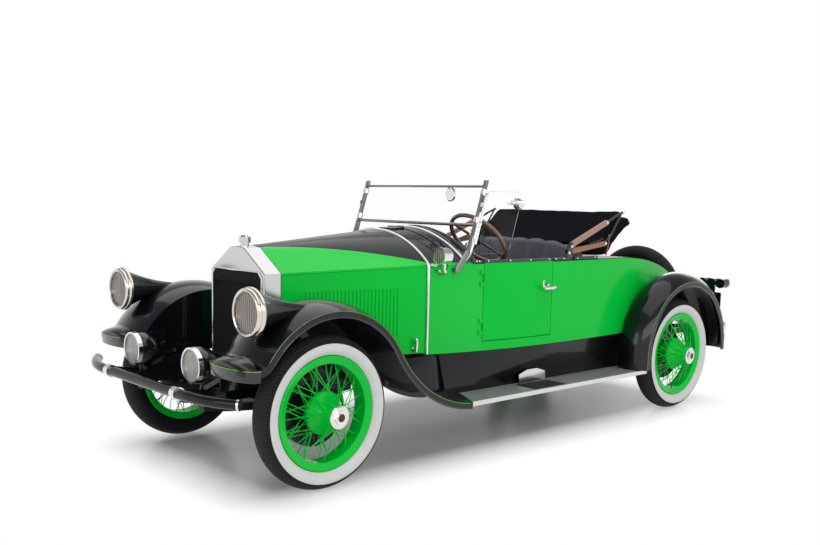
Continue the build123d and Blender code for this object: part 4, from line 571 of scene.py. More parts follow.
def block(name, size, place, bevel=0.003, turn=(0, 0, 0)):
    """A plain block with its edges eased."""
    bpy.ops.object.select_all(action="DESELECT")
    bpy.ops.mesh.primitive_cube_add(size=1)
    piece = bpy.context.object
    piece.name = name
    piece.scale = size
    bpy.ops.object.transform_apply(location=False, rotation=False, scale=True)
    bpy.ops.object.mode_set(mode="EDIT")
    bpy.ops.mesh.select_all(action="SELECT")
    bpy.ops.mesh.bevel(offset=bevel, segments=2, affect="EDGES")
    bpy.ops.object.mode_set(mode="OBJECT")
    piece.location = place
    piece.rotation_euler = turn
    return piece


def drawn(curve, points, kind="POLY"):
    """A mesh from a curve along points."""
    spline = curve.splines.new(kind)
    spline.points.add(len(points) - 1)
    for spot, point in zip(spline.points, points):
        spot.co = (*point, 1)
    if kind == "NURBS":
        spline.order_u = 3
        spline.use_endpoint_u = True
        spline.resolution_u = 8
    piece = bpy.data.objects.new(curve.name, curve)
    bpy.context.collection.objects.link(piece)
    pick(piece)
    bpy.ops.object.convert(target="MESH")
    return bpy.context.object


def tube(name, points, radius, kind="POLY", rounds=3):
    """A bar of round section along points."""
    curve = bpy.data.curves.new(name, "CURVE")
    curve.dimensions = "3D"
    curve.bevel_depth = radius
    curve.bevel_resolution = rounds
    curve.use_fill_caps = True
    return drawn(curve, points, kind)


def ribbon(name, plan, middle, height, thick):
    """An upright strip along a line of (x, y) points."""
    curve = bpy.data.curves.new(name, "CURVE")
    curve.dimensions = "2D"
    curve.fill_mode = "NONE"
    curve.extrude = (height - thick) / 2
    curve.bevel_depth = thick / 2
    curve.bevel_resolution = 2
    piece = drawn(curve, [(x, y, 0) for x, y in plan])
    piece.location.z = middle
    return piece


def trimmed(piece, cuts):
    """Cut a piece off below each plane, given as a point and the direction that stays."""
    fix(piece)
    bpy.ops.object.mode_set(mode="EDIT")
    for point, keep in cuts:
        bpy.ops.mesh.select_all(action="SELECT")
        bpy.ops.mesh.bisect(plane_co=point, plane_no=keep, clear_inner=True, use_fill=True)
    bpy.ops.object.mode_set(mode="OBJECT")
    return piece


def joined(name, pieces):
    """Several meshes made one piece."""
    bpy.ops.object.select_all(action="DESELECT")
    for piece in pieces:
        piece.select_set(True)
    bpy.context.view_layer.objects.active = pieces[0]
    bpy.ops.object.join()
    pieces[0].name = name
    return pieces[0]


def pair(piece, name, finish, body="chassis", angle=35):
    """Settle a left-hand piece and its mirrored copy. {} in a name is the side."""
    fix(piece)
    bpy.ops.object.duplicate()
    copy = bpy.context.object
    copy.name = name.format("right")
    copy.scale.y = -1
    piece.name = name.format("left")
    return [
        settle(piece, finish, body.format("left"), angle=angle),
        settle(copy, finish, body.format("right"), angle=angle)]


def soft_sweep(name, profile, half, sections, levels, move):
    """A stuffed form: a closed side profile of (x, z) drawn along Y and rounded off at its ends.

    move takes a point and its outward direction in the profile, and returns the point with its
    pleats, sag and creases.
    """
    count = len(profile)
    middle = sum((Vector(p) for p in profile), Vector((0, 0))) / count
    form = bmesh.new()
    rows = []
    for k in range(sections + 1):
        across = -1 + 2 * k / sections
        near_end = max(0, (abs(across) - 0.955) / 0.045)
        shrink = 1 - 0.16 * near_end**2.2
        row = []
        for i, (px, pz) in enumerate(profile):
            before, after = Vector(profile[i - 1]), Vector(profile[(i + 1) % count])
            along = (after - before).normalized()
            x = middle.x + (px - middle.x) * shrink
            z = middle.y + (pz - middle.y) * shrink
            point = move(Vector((x, across * half, z)), Vector((along.y, 0, -along.x)))
            row.append(form.verts.new(point))
        rows.append(row)
    for row, after in zip(rows, rows[1:]):
        for i in range(count):
            j = (i + 1) % count
            form.faces.new((row[i], row[j], after[j], after[i]))
    for row in (rows[0], rows[-1]):
        centre = form.verts.new(sum((v.co for v in row), Vector()) / count)
        for i in range(count):
            form.faces.new((row[i], row[(i + 1) % count], centre))
    mesh = bpy.data.meshes.new(name)
    form.to_mesh(mesh)
    form.free()
    piece = bpy.data.objects.new(name, mesh)
    bpy.context.collection.objects.link(piece)
    pick(piece)
    smooth = piece.modifiers.new("rounding", "SUBSURF")
    smooth.levels = smooth.render_levels = levels
    bpy.ops.object.modifier_apply(modifier=smooth.name)
    return piece


def half_width(x):
    """Half the body's width at a station, from the two arcs of its plan."""
    if x >= WIDE_X:
        run, rise, back = COWL_X - WIDE_X, BODY_HALF - COWL_HALF, x - WIDE_X
    elif x <= QUARTER_X:
        run, rise, back = QUARTER_X - TAIL_CORNER_X, BODY_HALF - TAIL_HALF, QUARTER_X - x
    else:
        return BODY_HALF
    radius = (run**2 + rise**2) / (2 * rise)
    return BODY_HALF - radius + sqrt(radius**2 - back**2)


def steps(low, high, count):
    """Evenly spaced values from low to high."""
    return [low + (high - low) * k / (count - 1) for k in range(count)]


def arc(x, z, reach, start, end, count):
    """Points of an arc as (x, z), from one angle to another."""
    return [(x + reach * cos(turn), z + reach * sin(turn)) for turn in steps(start, end, count)]


def crown(half, rise, top, count=41):
    """A shallow arch as (y, z), with its highest point at top."""
    bend = (half**2 + rise**2) / (2 * rise)
    return [(y, top - bend + sqrt(bend**2 - y**2)) for y in steps(-half, half, count)]


def fender_line(offset):
    """The front fender's lip line as (x, z), raised off the lip by an offset."""
    over = arc(ARCH_X, ARCH_Z, ARCH_RADIUS + offset, radians(34), radians(148), 40)
    return over + arc(FOOT_X, FOOT_Z, FOOT_RADIUS - offset, radians(328), radians(274.5), 24)


def rear_fender_line(offset):
    """The rear fender's lip line as (x, z), raised off the lip by an offset."""
    reach = REAR_ARCH_RADIUS + offset
    return [(REAR_ARCH_X + reach, REAR_LIP_Z)] + arc(REAR_ARCH_X, REAR_ARCH_Z, reach, 0, pi, 48)


class ROADSTER_OT_finishes(bpy.types.Operator):
    """Give every CAD node its lacquer, metal, rubber, glass or timber"""

    bl_idname = "roadster.finishes"
    bl_label = "Finish the Frame"

    def execute(self, context):
        colours = context.scene.roadster_colours
        sizes = context.scene.roadster_sizes
        body, fender, timber = colours.body, colours.fender, colours.timber
        rows = [
            (lacquer("body_lacquer", body, gloss=0.16), "hood_side_left hood_side_right"),
            (lacquer("fender_lacquer", fender, gloss=0.55),
             "front_fender_left front_fender_right rear_fender_left rear_fender_right deck_lid tail_lamps"),
            (lacquer("gear_enamel", fender, gloss=0.4),
             "frame front_axle rear_axle knuckle_left knuckle_right splash_aprons front_bumper spare_carrier"
             " fuel_tank"),
            (bright_metal("nickel"), "cowl_lamps bumper_fittings rear_bumper"),
            (bright_metal("shell_nickel", (0.62, 0.63, 0.635), 0.10), "radiator_shell"),
            (bright_metal("rim_nickel", (0.72, 0.67, 0.59), 0.10), "headlamp_rims"),
            (bright_metal("screen_nickel", (0.24, 0.245, 0.255), 0.10), "windscreen_frame"),
            (satin_metal("gear_steel", (0.05, 0.05, 0.055)), "tie_rod exhaust steering_column hood_rod"),
            (leafed_steel("spring_steel", (0.03, 0.03, 0.033)), "leaf_springs"),
            (rough_iron("engine_iron", (0.10, 0.11, 0.11)), "engine"),
            (bullet_lamp("driving_lamp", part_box("driving_lamps")[1].x, 0.026), "driving_lamps"),
            (lacquer("hood_lacquer", body, fender, black_hood_top, 0.35), "hood_top_left hood_top_right"),
            (lacquer("cowl_lacquer", body, fender, black_cowl_top, 0.35), "cowl"),
            (lacquer("rear_lacquer", body, fender, black_deck, 0.18), "rear_body"),
            (handled_door("door_lacquer", body), "door_left door_right"),
            (cellular_core("core_cells"), "radiator_core"),
            (fluted_glass("lamp_glass"), "lamp_lenses"),
            (clear_glass("plate_glass"), "glass"),
            (worn_board("board_metal"), "running_boards"),
            (grained_leather("floor_mat", (0.02, 0.02, 0.02)), "floor"),
            (bow_timber("bow_timber", timber), "top_bows"),
            (varnished_timber("dash_timber", shade(timber, 0.5), (6, 1, 6)), "dashboard"),
            (rim_timber("rim_timber", shade(timber, 0.45)), "steering_wheel"),
        ]
        wheels = [(f"tyre_{corner}", f"wheel_{corner}", 1) for corner in CORNERS]
        for tyre, wheel, across in (*wheels, ("spare_tyre", "spare_wheel", 0)):
            middle = middle_of(tyre)
            side = 1 if across and middle.y > 0 else -1
            rows.append((tyre_rubber(tyre + "_rubber", middle, across, side, colours, sizes), tyre))
            rows.append((capped_wheel(wheel + "_lacquer", middle, across, side, body), wheel))
        for finish, nodes in rows:
            for node in nodes.split():
                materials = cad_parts[node].data.materials
                materials.clear()
                materials.append(finish.material)
        return {"FINISHED"}


class ROADSTER_OT_seats(bpy.types.Operator):
    """Stuff and pleat the seat's cushion and back"""

    bl_idname = "roadster.seats"
    bl_label = "Seats"

    def execute(self, context):
        leather = grained_leather("seat_leather", context.scene.roadster_colours.leather)
        pitch = context.scene.roadster_sizes.pleat_pitch
        for node, profile, low, high, drop in SEATS:
            def pleat(point, out):
                from_seam = (point.y / pitch) % 1 - 0.5
                valley = max(0, 1 - abs(from_seam) * 13)
                puff = cos(from_seam * pi * 2) * -0.5 + 0.5
                worked = min(1, max(0, (point.z - low) / 0.05)) * (1 if point.z < high else 0)
                crease = noise.noise(Vector((point.x * 9, point.y * 7, point.z * 9)))
                depth = worked * (0.013 * valley**0.7 - 0.009 * puff) + 0.003 * crease
                share = min(1, max(0, (point.z - low) / (high - low)))
                fall = drop * (abs(point.y) / SEAT_HALF) ** 3 * share
                return point - out * (depth + 0.006) - Vector((0, 0, fall))

            piece = soft_sweep(node + "_leather", profile, SEAT_HALF, 84, 2, pleat)
            settle(piece, leather, replaces=[node], angle=80)
        return {"FINISHED"}


class ROADSTER_OT_top(bpy.types.Operator):
    """Fold the cloth top behind the seat, with its irons, pins and straps"""

    bl_idname = "roadster.top"
    bl_label = "Folded Top"

    def execute(self, context):
        cloth = woven_cloth("top_cloth", context.scene.roadster_colours.cloth)
        iron = lacquer("top_iron", (0.01, 0.01, 0.011), gloss=0.5)
        nickel = bright_metal("hinge_nickel")
        tan = grained_leather("strap_leather", (0.20, 0.085, 0.030))

        def drape(point, out):
            folds = noise.noise(Vector((point.x * 5, point.y * 3.2, point.z * 5)))
            fine = noise.noise(Vector((point.x * 16, point.y * 11, point.z * 16)))
            end = max(0, (abs(point.y) - 0.47) / 0.13)
            pucker = end * noise.noise(Vector((point.x * 24, point.y * 14, point.z * 24)))
            return point + out * (0.011 * folds + 0.004 * fine + 0.014 * pucker - 0.012)

        bundle = soft_sweep("top_bundle", TOP_FOLDS, TOP_HALF, 72, 2, drape)
        settle(bundle, cloth, replaces=["folded_top"], angle=80)
        for side, sign in SIDES:
            y = sign * TOP_IRON_Y
            irons = [tube("top_iron", [(x, y, z) for x, z in line], radius) for line, radius in TOP_IRONS]
            settle(joined(f"top_irons_{side}", irons), iron)
            pins = []
            for x, z in TOP_PINS:
                foot = (x, y + sign * 0.008, z)
                pins.append(turned("top_pin", [(11, 0), (11, 6), (7, 9), (1, 10)], foot, (0, sign, 0), 16))
            settle(joined(f"top_pins_{side}", pins), nickel)
            line = [(-0.905, y, 1.180), (-0.925, y + sign * 0.004, 1.262), (-0.930, y + sign * 0.003, 1.330)]
            settle(tube(f"top_strap_{side}", line, 0.006), tan)
        return {"FINISHED"}


class ROADSTER_OT_coaming(bpy.types.Operator):
    """Roll leather along the cockpit's edge and stud it with snaps"""

    bl_idname = "roadster.coaming"
    bl_label = "Coaming"

    def execute(self, context):
        leather = grained_leather("coaming_leather", context.scene.roadster_colours.leather)
        nickel = bright_metal("snap_nickel")
        radius = context.scene.roadster_sizes.coaming_radius
        half = half_width(DASH_X) - 0.017
        arch = [(DASH_X - 0.006, y, z) for y, z in crown(half, DASH_RISE, DASH_TOP - 0.006)]
        pad = settle(tube("dash_roll", arch, radius * 1.2, rounds=4), leather, angle=80)
        for name, body, front, rear in ROLLS:
            places = steps(front, rear, max(3, int((front - rear) / 0.03)))
            line = [(x, half_width(x) - radius - 0.001, BELT_Z + radius * 0.55) for x in places]
            for piece in pair(tube(name, line, radius, rounds=4), name, leather, body, 80):
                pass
            snaps = []
            for x in steps(front - 0.03, rear + 0.03, max(2, int((front - rear) / 0.15))):
                place = (x, half_width(x) - 0.0035, BELT_Z + radius * 0.9)
                snaps.append(turned("snap", [(6, 0), (6, 2), (3, 4), (0.5, 4.2)], place, (0, 1, 0.45), 12))
            pair(joined("snaps", snaps), name.replace("roll", "snaps"), nickel, body=body)
        return {"FINISHED"}


class ROADSTER_OT_trim(bpy.types.Operator):
    """Fit the cowl's hoops, the screen's fittings, fender stripes and beads, latches and mirrors"""

    bl_idname = "roadster.trim"
    bl_label = "Trim"

    def execute(self, context):
        nickel = bright_metal("trim_nickel")
        black = lacquer("bead_lacquer", context.scene.roadster_colours.fender)
        line = satin_metal("stripe_paint", context.scene.roadster_colours.stripe, 0.3).set("Metallic", 0.0)
        width = context.scene.roadster_sizes.stripe_width
        self.hoops(nickel, black)
        self.screen_fittings(nickel)
        self.lamp_leads(nickel)
        self.core_rim(nickel)
        self.fender_lines(black, line, width)
        self.noses(black, line, width)
        self.latches(nickel)
        self.handles(nickel)
        self.mirror(nickel)
        return {"FINISHED"}

    def hoop(self, name, x, top, low, radius, finish, slot="bright_metal"):
        """A half-round band over the cowl, down to a height on each side."""
        knee = half_width(x) - 0.015
        over = [(x, y, z + 0.002) for y, z in crown(knee, top - COWL_KNEE_Z, top)]
        side = half_width(x) + 0.001
        down = [(x, side, z) for z in steps(COWL_SIDE_Z, low, 4)] if low < COWL_SIDE_Z else []
        path = [(px, -py, pz) for px, py, pz in reversed(down)] + over + down
        settle(tube(name, path, radius, rounds=4), finish)

    def hoops(self, nickel, black):
        """Two nickel hoops, the seam between them and the vent's flap."""
        self.hoop("cowl_hoop", 0.744, 1.3525, 0.604, 0.0095, nickel)
        self.hoop("screen_hoop", 0.478, 1.3680, 1.2, 0.0100, nickel)
        self.hoop("cowl_seam", 0.566, 1.3618, 1.2, 0.0035, black, "black_paint")
        tilt = (0, radians(3), 0)
        vent = [
            block("flap", (0.085, 0.150, 0.012), (0.612, 0, 1.3625), 0.003, tilt),
            block("flap_lip", (0.012, 0.156, 0.016), (0.568, 0, 1.3685), 0.003, tilt),
        ]
        settle(joined("cowl_vent", vent), black)

    def screen_fittings(self, nickel):
        """Collars, hinge rods and curved stays at the windscreen's posts, and the inside mirror."""
        way = Vector((SCREEN_TOP[0] - SCREEN_MID[0], 0, SCREEN_TOP[1] - SCREEN_MID[1])).normalized()
        foot = Vector((SCREEN_MID[0], POST_Y, SCREEN_MID[1]))
        parts = []
        for reach in (0.030, 0.212):
            spot = foot + way * reach
            parts.append(turned("collar", [(17, -20), (21, -15), (21, 15), (17, 20)], spot, way, 20))
            spot = spot + Vector((-0.002, 0.018, 0))
            parts.append(turned("collar_nut", [(12, 0), (12, 10), (6, 16)], spot, (-0.2, 1, 0), 12))
        rod = [foot + way * reach + Vector((-0.026, 0.014, 0)) for reach in (-0.125, 0.215)]
        stay = [
            (0.478, 0.556, 1.180), (0.456, 0.583, 1.225), (0.440, 0.590, 1.310), (0.412, 0.588, 1.400),
            (0.388, 0.586, 1.475)]
        parts += [tube("hinge_rod", rod, 0.0065), tube("stay", stay, 0.0095, "NURBS", 4)]
        pair(joined("screen_fittings", parts), "screen_fittings_{}", nickel)
        stem = [(0.336, 0.250, 1.640), (0.324, 0.250, 1.622), (0.322, 0.250, 1.590)]
        glass = [
            turned("mirror", [(40, 0), (47, 5), (47, 10), (43, 13)], (0.325, 0.250, 1.588), (-1, 0, 0)),
            tube("mirror_stem", stem, 0.006),
        ]
        settle(joined("inside_mirror", glass), nickel)

    def lamp_leads(self, nickel):
        """A curved nickel strip and a rubber lead from each cowl lamp to the cowl's side."""
        line = [(0.740, 0.512, 1.160), (0.722, 0.520, 1.150), (0.700, 0.548, 1.152), (0.690, 0.572, 1.164)]
        pair(tube("strip", line, 0.007, "NURBS"), "lamp_strip_{}", nickel)
        rubber = rough_iron("lead_rubber", (0.03, 0.03, 0.03), 0.0)
        for side, sign in SIDES:
            path = []
            for turn in steps(0, pi * 0.78, 28):
                ahead = 1 - cos(turn)
                spot = LEAD_START + Vector((0.026 * ahead, -0.020 * ahead, -0.062 * sin(turn)))
                path.append(Vector((spot.x, spot.y * sign, spot.z)))
            end = path[-1]
            path.append(Vector((end.x + 0.001, sign * (half_width(end.x) - 0.001), end.z + 0.002)))
            lead = settle(tube(f"lamp_lead_{side}", path, 0.003), rubber, angle=60)

    def core_rim(self, nickel):
        """The core's head above its opening, and a bright bead round both."""
        head = block("core_head", (0.004, 0.518, 0.072), (SHELL_FRONT + 0.0015, 0, 1.092), 0.0008)
        for sign in (1, -1):
            trimmed(head, [((0, sign * 0.259, 1.094), (0, -sign, -1))])
        settle(head, cellular_core("core_head_cells"))
        corner = [(0.262, 0.640), (0.262, 1.094), (0.229, 1.128)]
        line = corner + [(-y, z) for y, z in reversed(corner)]
        settle(tube("core_bead", [(SHELL_FRONT + 0.002, y, z) for y, z in line], 0.0065), nickel)

    def fender_lines(self, black, line, width):
        """A bead round each fender's lip, and a stripe above it."""
        for name, path in (("front", fender_line), ("rear", rear_fender_line)):
            bead = tube("bead", [(x, BEAD_Y, z) for x, z in path(0.0035)], 0.0055)
            pair(bead, name + "_bead_{}", black)
            stripe = tube("stripe", [(x, STRIPE_Y, z) for x, z in path(STRIPE_RISE)], width / 2, rounds=1)
            pair(stripe, name + "_stripe_{}", line)

    def noses(self, black, line, width):
        """The deep band that carries each front fender's lip round its nose, its stripe and inner panels."""
        plan = []
        for turn in steps(-pi / 2, pi / 2, 33):
            plan.append((NOSE_X + NOSE_REACH * abs(cos(turn)) ** 0.75, NOSE_Y + NOSE_HALF * sin(turn)))
        pair(ribbon("band", plan, 0.6740, 0.058, 0.009), "nose_band_{}", black)
        raised = [(NOSE_X + (x - NOSE_X) * 1.04, NOSE_Y + (y - NOSE_Y) * 1.022, 0.7035) for x, y in plan]
        pair(tube("stripe", raised, width * 0.6, rounds=1), "nose_stripe_{}", line)
        filler = block("filler", (0.175, 0.004, 0.128), (2.1175, 0.4380, 0.682), 0.001)
        trimmed(filler, [((2.105, 0, 0.746), (-0.055, 0, -0.100)), ((2.205, 0, 0.668), (-0.046, 0, 0.105))])
        pair(filler, "fender_filler_{}", black)
        skirt = block("skirt", (0.225, 0.004, 0.100), (2.065, 0.4335, 0.578), 0.001)
        pair(skirt, "fender_skirt_{}", black)

    def latches(self, nickel):
        """Two levers low on each hood side."""
        for label, share in (("fore", 0.13), ("aft", 0.92)):
            x = HOOD_FRONT_X - (HOOD_FRONT_X - HOOD_REAR_X) * share
            y = SHELL_HALF + (COWL_HALF - SHELL_HALF) * share
            lever = [
                (x + 0.004, y + 0.022, 0.630), (x + 0.005, y + 0.026, 0.672), (x + 0.009, y + 0.030, 0.700)]
            ball = (x + 0.009, y + 0.030, 0.704)
            foot, out = [(16, 0), (16, 5), (11, 12), (9, 24)], (0.23, 0.97, 0)
            parts = [
                turned("latch_foot", foot, (x, y - 0.001, LATCH_Z), out, 20),
                tube("latch_lever", lever, 0.0130),
                turned("latch_ball", [(6, -8), (11, -3), (11, 3), (6, 8)], ball, (0.1, 0.1, 1), 16),
            ]
            pair(joined("latch", parts), "hood_latch_" + label + "_{}", nickel, body="hood_side_{}")

    def handles(self, nickel):
        """A cast lever on a boss over each door's own handle."""
        x, y, z = HANDLE
        lever = [(8, -18), (14.5, -10), (16, 12), (14, 60), (14.5, 90), (10, 106), (3, 110)]
        rise = ((0.100, 0), (0.108, 0.030), (0.102, 0.052))
        thumb = [(x + ahead, y + 0.040, z + up) for ahead, up in rise]
        parts = [
            turned("boss", [(21, -1), (21, 4), (13, 10), (12, 40)], HANDLE, (0, 1, 0), 24),
            turned("lever", lever, (x, y + 0.044, z), (1, 0, 0), 20),
            tube("thumb", thumb, 0.007),
        ]
        pair(joined("handle", parts), "door_lever_{}", nickel, body="door_{}")

    def mirror(self, nickel):
        """A round mirror clamped to the edge of the left wind-wing."""
        head = [(10, 0), (34, 10), (44, 24), (47, 34), (44, 38)]
        parts = [
            turned("mirror_head", head, (0.252, 0.748, 1.541), (-1, 0.10, 0)),
            tube("mirror_arm", [(0.248, 0.748, 1.541), (0.262, 0.735, 1.541), (0.236, 0.696, 1.541)], 0.005),
            block("mirror_clamp", (0.030, 0.020, 0.026), (0.232, 0.690, 1.541), 0.004, WING_TURN),
        ]
        settle(joined("wing_mirror", parts), nickel)


class ROADSTER_OT_lamps(bpy.types.Operator):
    """Set reflectors and bulbs behind the headlamps' glass, and glasses in the tail lamps"""

    bl_idname = "roadster.lamps"
    bl_label = "Lamps"

    def execute(self, context):
        nickel = bright_metal("reflector_silver", (0.62, 0.56, 0.50), 0.08)
        glass = fluted_glass("bulb_glass")
        red = fluted_glass("tail_glass")
        red.set("Base Color", red.mix(red.noise(30), (0.45, 0.004, 0.004), (0.62, 0.012, 0.008)))
        low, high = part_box("headlamp_rims")
        middle = (low.x, high.y - 0.131, (low.z + high.z) / 2)
        dish = [(30, 0.5), (104, 4), (104, 22), (101.5, 22), (80, 11), (50, 6), (20, 4)]
        pair(turned("dish", dish, middle, (1, 0, 0), 48), "headlamp_dish_{}", nickel)
        bulb = [(7, 4), (7, 9), (12.5, 13), (12.5, 18), (7, 22.5), (1, 23.5)]
        pair(turned("bulb", bulb, middle, (1, 0, 0), 20), "headlamp_bulb_{}", glass)
        rim = [(38.5, -10), (40, -4), (40, 4), (36, 6)]
        lens = [(33.5, 5), (33.5, 8), (28, 12.5), (16, 15.5), (1, 16.5)]
        for y in TAIL_LAMP_Y:
            place = (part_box("tail_lamps")[0].x, y, TAIL_LAMP_Z)
            settle(turned("tail_rim", rim, place, (-1, 0, 0)), nickel)
            settle(turned("tail_lens", lens, place, (-1, 0, 0)), red)
        plate = block("plate_blank", (0.003, 0.286, 0.136), PLATE_PLACE, 0.001)
        settle(plate, lacquer("plate_enamel", (0.62, 0.62, 0.60), gloss=0.3))
        return {"FINISHED"}


class ROADSTER_OT_boards(bpy.types.Operator):
    """Edge the running boards, lay their step mats and kick plates, and close the gaps beside them"""

    bl_idname = "roadster.boards"
    bl_label = "Running Boards"

    def execute(self, context):
        nickel = bright_metal("board_nickel", (0.70, 0.70, 0.70), 0.16)
        rubber = rough_iron("mat_rubber", (0.012, 0.012, 0.013), 0.0)
        low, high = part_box("running_boards")
        front = high.x - 0.004
        place = ((front + low.x) / 2, high.y + 0.0025, BOARD_TOP - 0.0125)
        pair(block("strip", (front - low.x - 0.012, 0.006, 0.030), place, 0.0025), "board_edge_{}", nickel)
        ribs = []
        for y in steps(0.640, 0.785, 8):
            ribs.append(block("rib", (0.290, 0.008, 0.006), (MAT_X, y, BOARD_TOP + 0.0035), 0.0018))
        mat = block("mat", (0.310, 0.170, 0.004), (MAT_X, 0.7125, BOARD_TOP + 0.0021), 0.0012)
        pair(joined("step_mat", [mat, *ribs]), "step_mat_{}", rubber)
        self.side_panels(lacquer("panel_enamel", context.scene.roadster_colours.fender, gloss=0.4))
        place, lean_in = (-0.150, 0.610, BOARD_TOP + 0.0435), (radians(6), 0, 0)
        plate = block("plate", (0.270, 0.004, 0.088), place, 0.0012, lean_in)
        for x, lean in ((-0.015, -0.3), (-0.285, 0.3)):
            trimmed(plate, [((x, 0, BOARD_TOP + 0.062), (lean, 0, -1))])
        pair(plate, "kick_plate_{}", nickel)
        return {"FINISHED"}

    def side_panels(self, gear):
        """Close the side from the apron forward to the fender, and the rear wheel houses inside."""
        panel = block("panel", (0.360, 0.006, 0.272), (0.800, 0.541, 0.463), 0.001, (radians(14), 0, 0))
        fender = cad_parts["front_fender_left"]
        down = Vector((0, 0, -1))
        seat = [fender.ray_cast(Vector((x, 0.56, 0.64)), down)[1] for x in steps(0.690, 0.985, 4)]
        cuts = []
        for low, high in zip(seat, seat[1:]):
            along = high - low
            cuts.append((low - Vector((0, 0, 0.004)), (-along.z, 0, along.x)))
        pair(trimmed(panel, cuts), "toe_panel_{}", gear)
        reach = (REAR_ARCH_RADIUS + 0.004) * 1000
        wall = turned("wall", [(reach, 0), (reach, 4)], (REAR_ARCH_X, 0.571, REAR_ARCH_Z), (0, 1, 0), 72)
        pair(trimmed(wall, [((0, 0, 0.660), (0, 0, 1))]), "wheel_house_{}", gear)


class ROADSTER_OT_cockpit(bpy.types.Operator):
    """Fit the dials, levers, pedals and horn button"""

    bl_idname = "roadster.cockpit"
    bl_label = "Cockpit"

    def execute(self, context):
        nickel = bright_metal("dial_nickel")
        face = lacquer("dial_face", (0.012, 0.012, 0.012), gloss=0.3)
        steel = satin_metal("lever_steel", (0.30, 0.30, 0.31), 0.25)
        for k, (y, z, radius) in enumerate(DIALS):
            place, back = (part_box("dashboard")[0].x, y, z), (-1, 0, 0)
            ring = [(radius, 0), (radius, 6), (radius * 0.9, 11), (radius * 0.84, 6)]
            settle(turned("bezel", ring, place, back), nickel)
            hand = [
                turned("dial", [(radius * 0.83, 4.5), (radius * 0.83, 6.5)], place, back),
                turned("dial_pin", [(4, 6), (4, 9), (1, 9.5)], place, back, 10),
            ]
            settle(joined(f"dial_face_{k}", hand), face)
        knob = [(10, -24), (22, -14), (26, 0), (22, 14), (8, 23), (1, 23.5)]
        settle(joined("gear_lever", [
            tube("gear_stem", [(0.300, 0, 0.616), (0.270, 0, 0.760), (0.170, 0, 0.980)], 0.009, "NURBS"),
            turned("gear_knob", knob, (0.165, 0, 0.992), (-0.4, 0, 1)),
            turned("gear_boot", [(60, 0), (50, 12), (26, 34), (12, 48)], (0.300, 0, 0.6155), (0, 0, 1)),
        ]), steel)
        stem = [(0.330, -0.110, 0.616), (0.260, -0.110, 0.840), (0.235, -0.110, 0.960)]
        grip = [(12, 0), (14, 10), (14, 90), (10, 100)]
        settle(joined("hand_brake", [
            tube("brake_stem", stem, 0.008, "NURBS"),
            turned("brake_grip", grip, (0.240, -0.110, 0.930), (-0.22, 0, 1), 20),
        ]), steel)
        pedals = []
        for y in (0.215, 0.330, 0.445):
            arm = [(0.660, y, 0.6155), (0.655, y, 0.720), (0.625, y, 0.790)]
            pedals.append(tube("pedal_arm", arm, 0.007, "NURBS"))
            pad = (0.618, y, 0.795)
            pedals.append(block("pedal_pad", (0.014, 0.070, 0.090), pad, 0.004, (0, radians(-25), 0)))
        settle(joined("pedals", pedals), steel)
        hub = STEERING_HUB - STEERING_WAY * 0.0222
        button = turned("horn_button", [(30, 0), (30, 4), (22, 10), (12, 13), (1, 14)], hub, -STEERING_WAY)
        settle(button, face, "steering_wheel")
        return {"FINISHED"}


class ROADSTER_OT_engine(bpy.types.Operator):
    """Dress the engine with its head, plugs, manifolds, carburettor and fan"""

    bl_idname = "roadster.engine"
    bl_label = "Engine"

    def execute(self, context):
        iron = rough_iron("head_iron", (0.16, 0.17, 0.17))
        steel = satin_metal("engine_steel", (0.35, 0.35, 0.34), 0.28)
        rust = rough_iron("manifold_iron", (0.12, 0.08, 0.06))
        brass = bright_metal("engine_brass", (0.62, 0.42, 0.16), 0.2)
        head = [block("head", (0.520, 0.230, 0.050), (1.220, 0.010, 1.0545), 0.010)]
        head += [block("rib", (0.014, 0.236, 0.058), (x, 0.010, 1.0545)) for x in steps(0.99, 1.45, 8)]
        settle(joined("cylinder_head", head), iron)
        cylinders = steps(1.010, 1.430, 6)
        plug = [(13, 0), (13, 12), (8, 14), (9, 40), (4, 44), (4, 52)]
        plugs = [turned("plug", plug, (x, 0.070, 1.079), (0, 0.2, 1), 12) for x in cylinders]
        settle(joined("spark_plugs", plugs), steel)
        manifolds = (("exhaust_manifold", -1, rust, 0.900), ("inlet_manifold", 1, steel, 0.860))
        for name, side, finish, z in manifolds:
            y = side * 0.215
            line = [(1.440, y, z), (1.220, y, z + 0.010), (0.980, y, z)]
            run = [tube("run", line, 0.030, "NURBS", 5)]
            for x in cylinders:
                line = [(x, side * 0.168, z + 0.030), (x, y - side * 0.008, z + 0.022), (x, y, z)]
                run.append(tube("branch", line, 0.018, "NURBS"))
            settle(joined(name, run), finish)
        bowl = [(20, -60), (36, -50), (36, 10), (24, 18), (24, 60)]
        settle(joined("carburettor", [
            turned("bowl", bowl, (1.220, 0.232, 0.770), (0, 0, 1)),
            turned("intake", [(30, 0), (30, 50), (38, 60), (34, 61)], (1.235, 0.232, 0.770), (1, 0, 0)),
        ]), brass)
        fan = [turned("fan_hub", [(40, 0), (40, 20), (20, 30)], (FAN_X, 0, FAN_Z), (1, 0, 0))]
        for k in range(4):
            turn = radians(45 + 90 * k)
            place = (FAN_X + 0.0155, -sin(turn) * BLADE_REACH, FAN_Z + cos(turn) * BLADE_REACH)
            fan.append(block("blade", (0.004, 0.060, 0.150), place, 0.0015, (turn, 0, radians(20))))
        settle(joined("fan", fan), steel)
        return {"FINISHED"}


# Camera of the photograph, in metres and degrees, for a frame of 820 by 545
CAMERA_PLACE = (4.68925, 4.58498, 1.54886)
CAMERA_YAW, CAMERA_PITCH, CAMERA_ROLL = 229.09, 7.9, -1.09
CAMERA_LENS, CAMERA_SHIFT = 40.74, (0.0402, 0.0674)
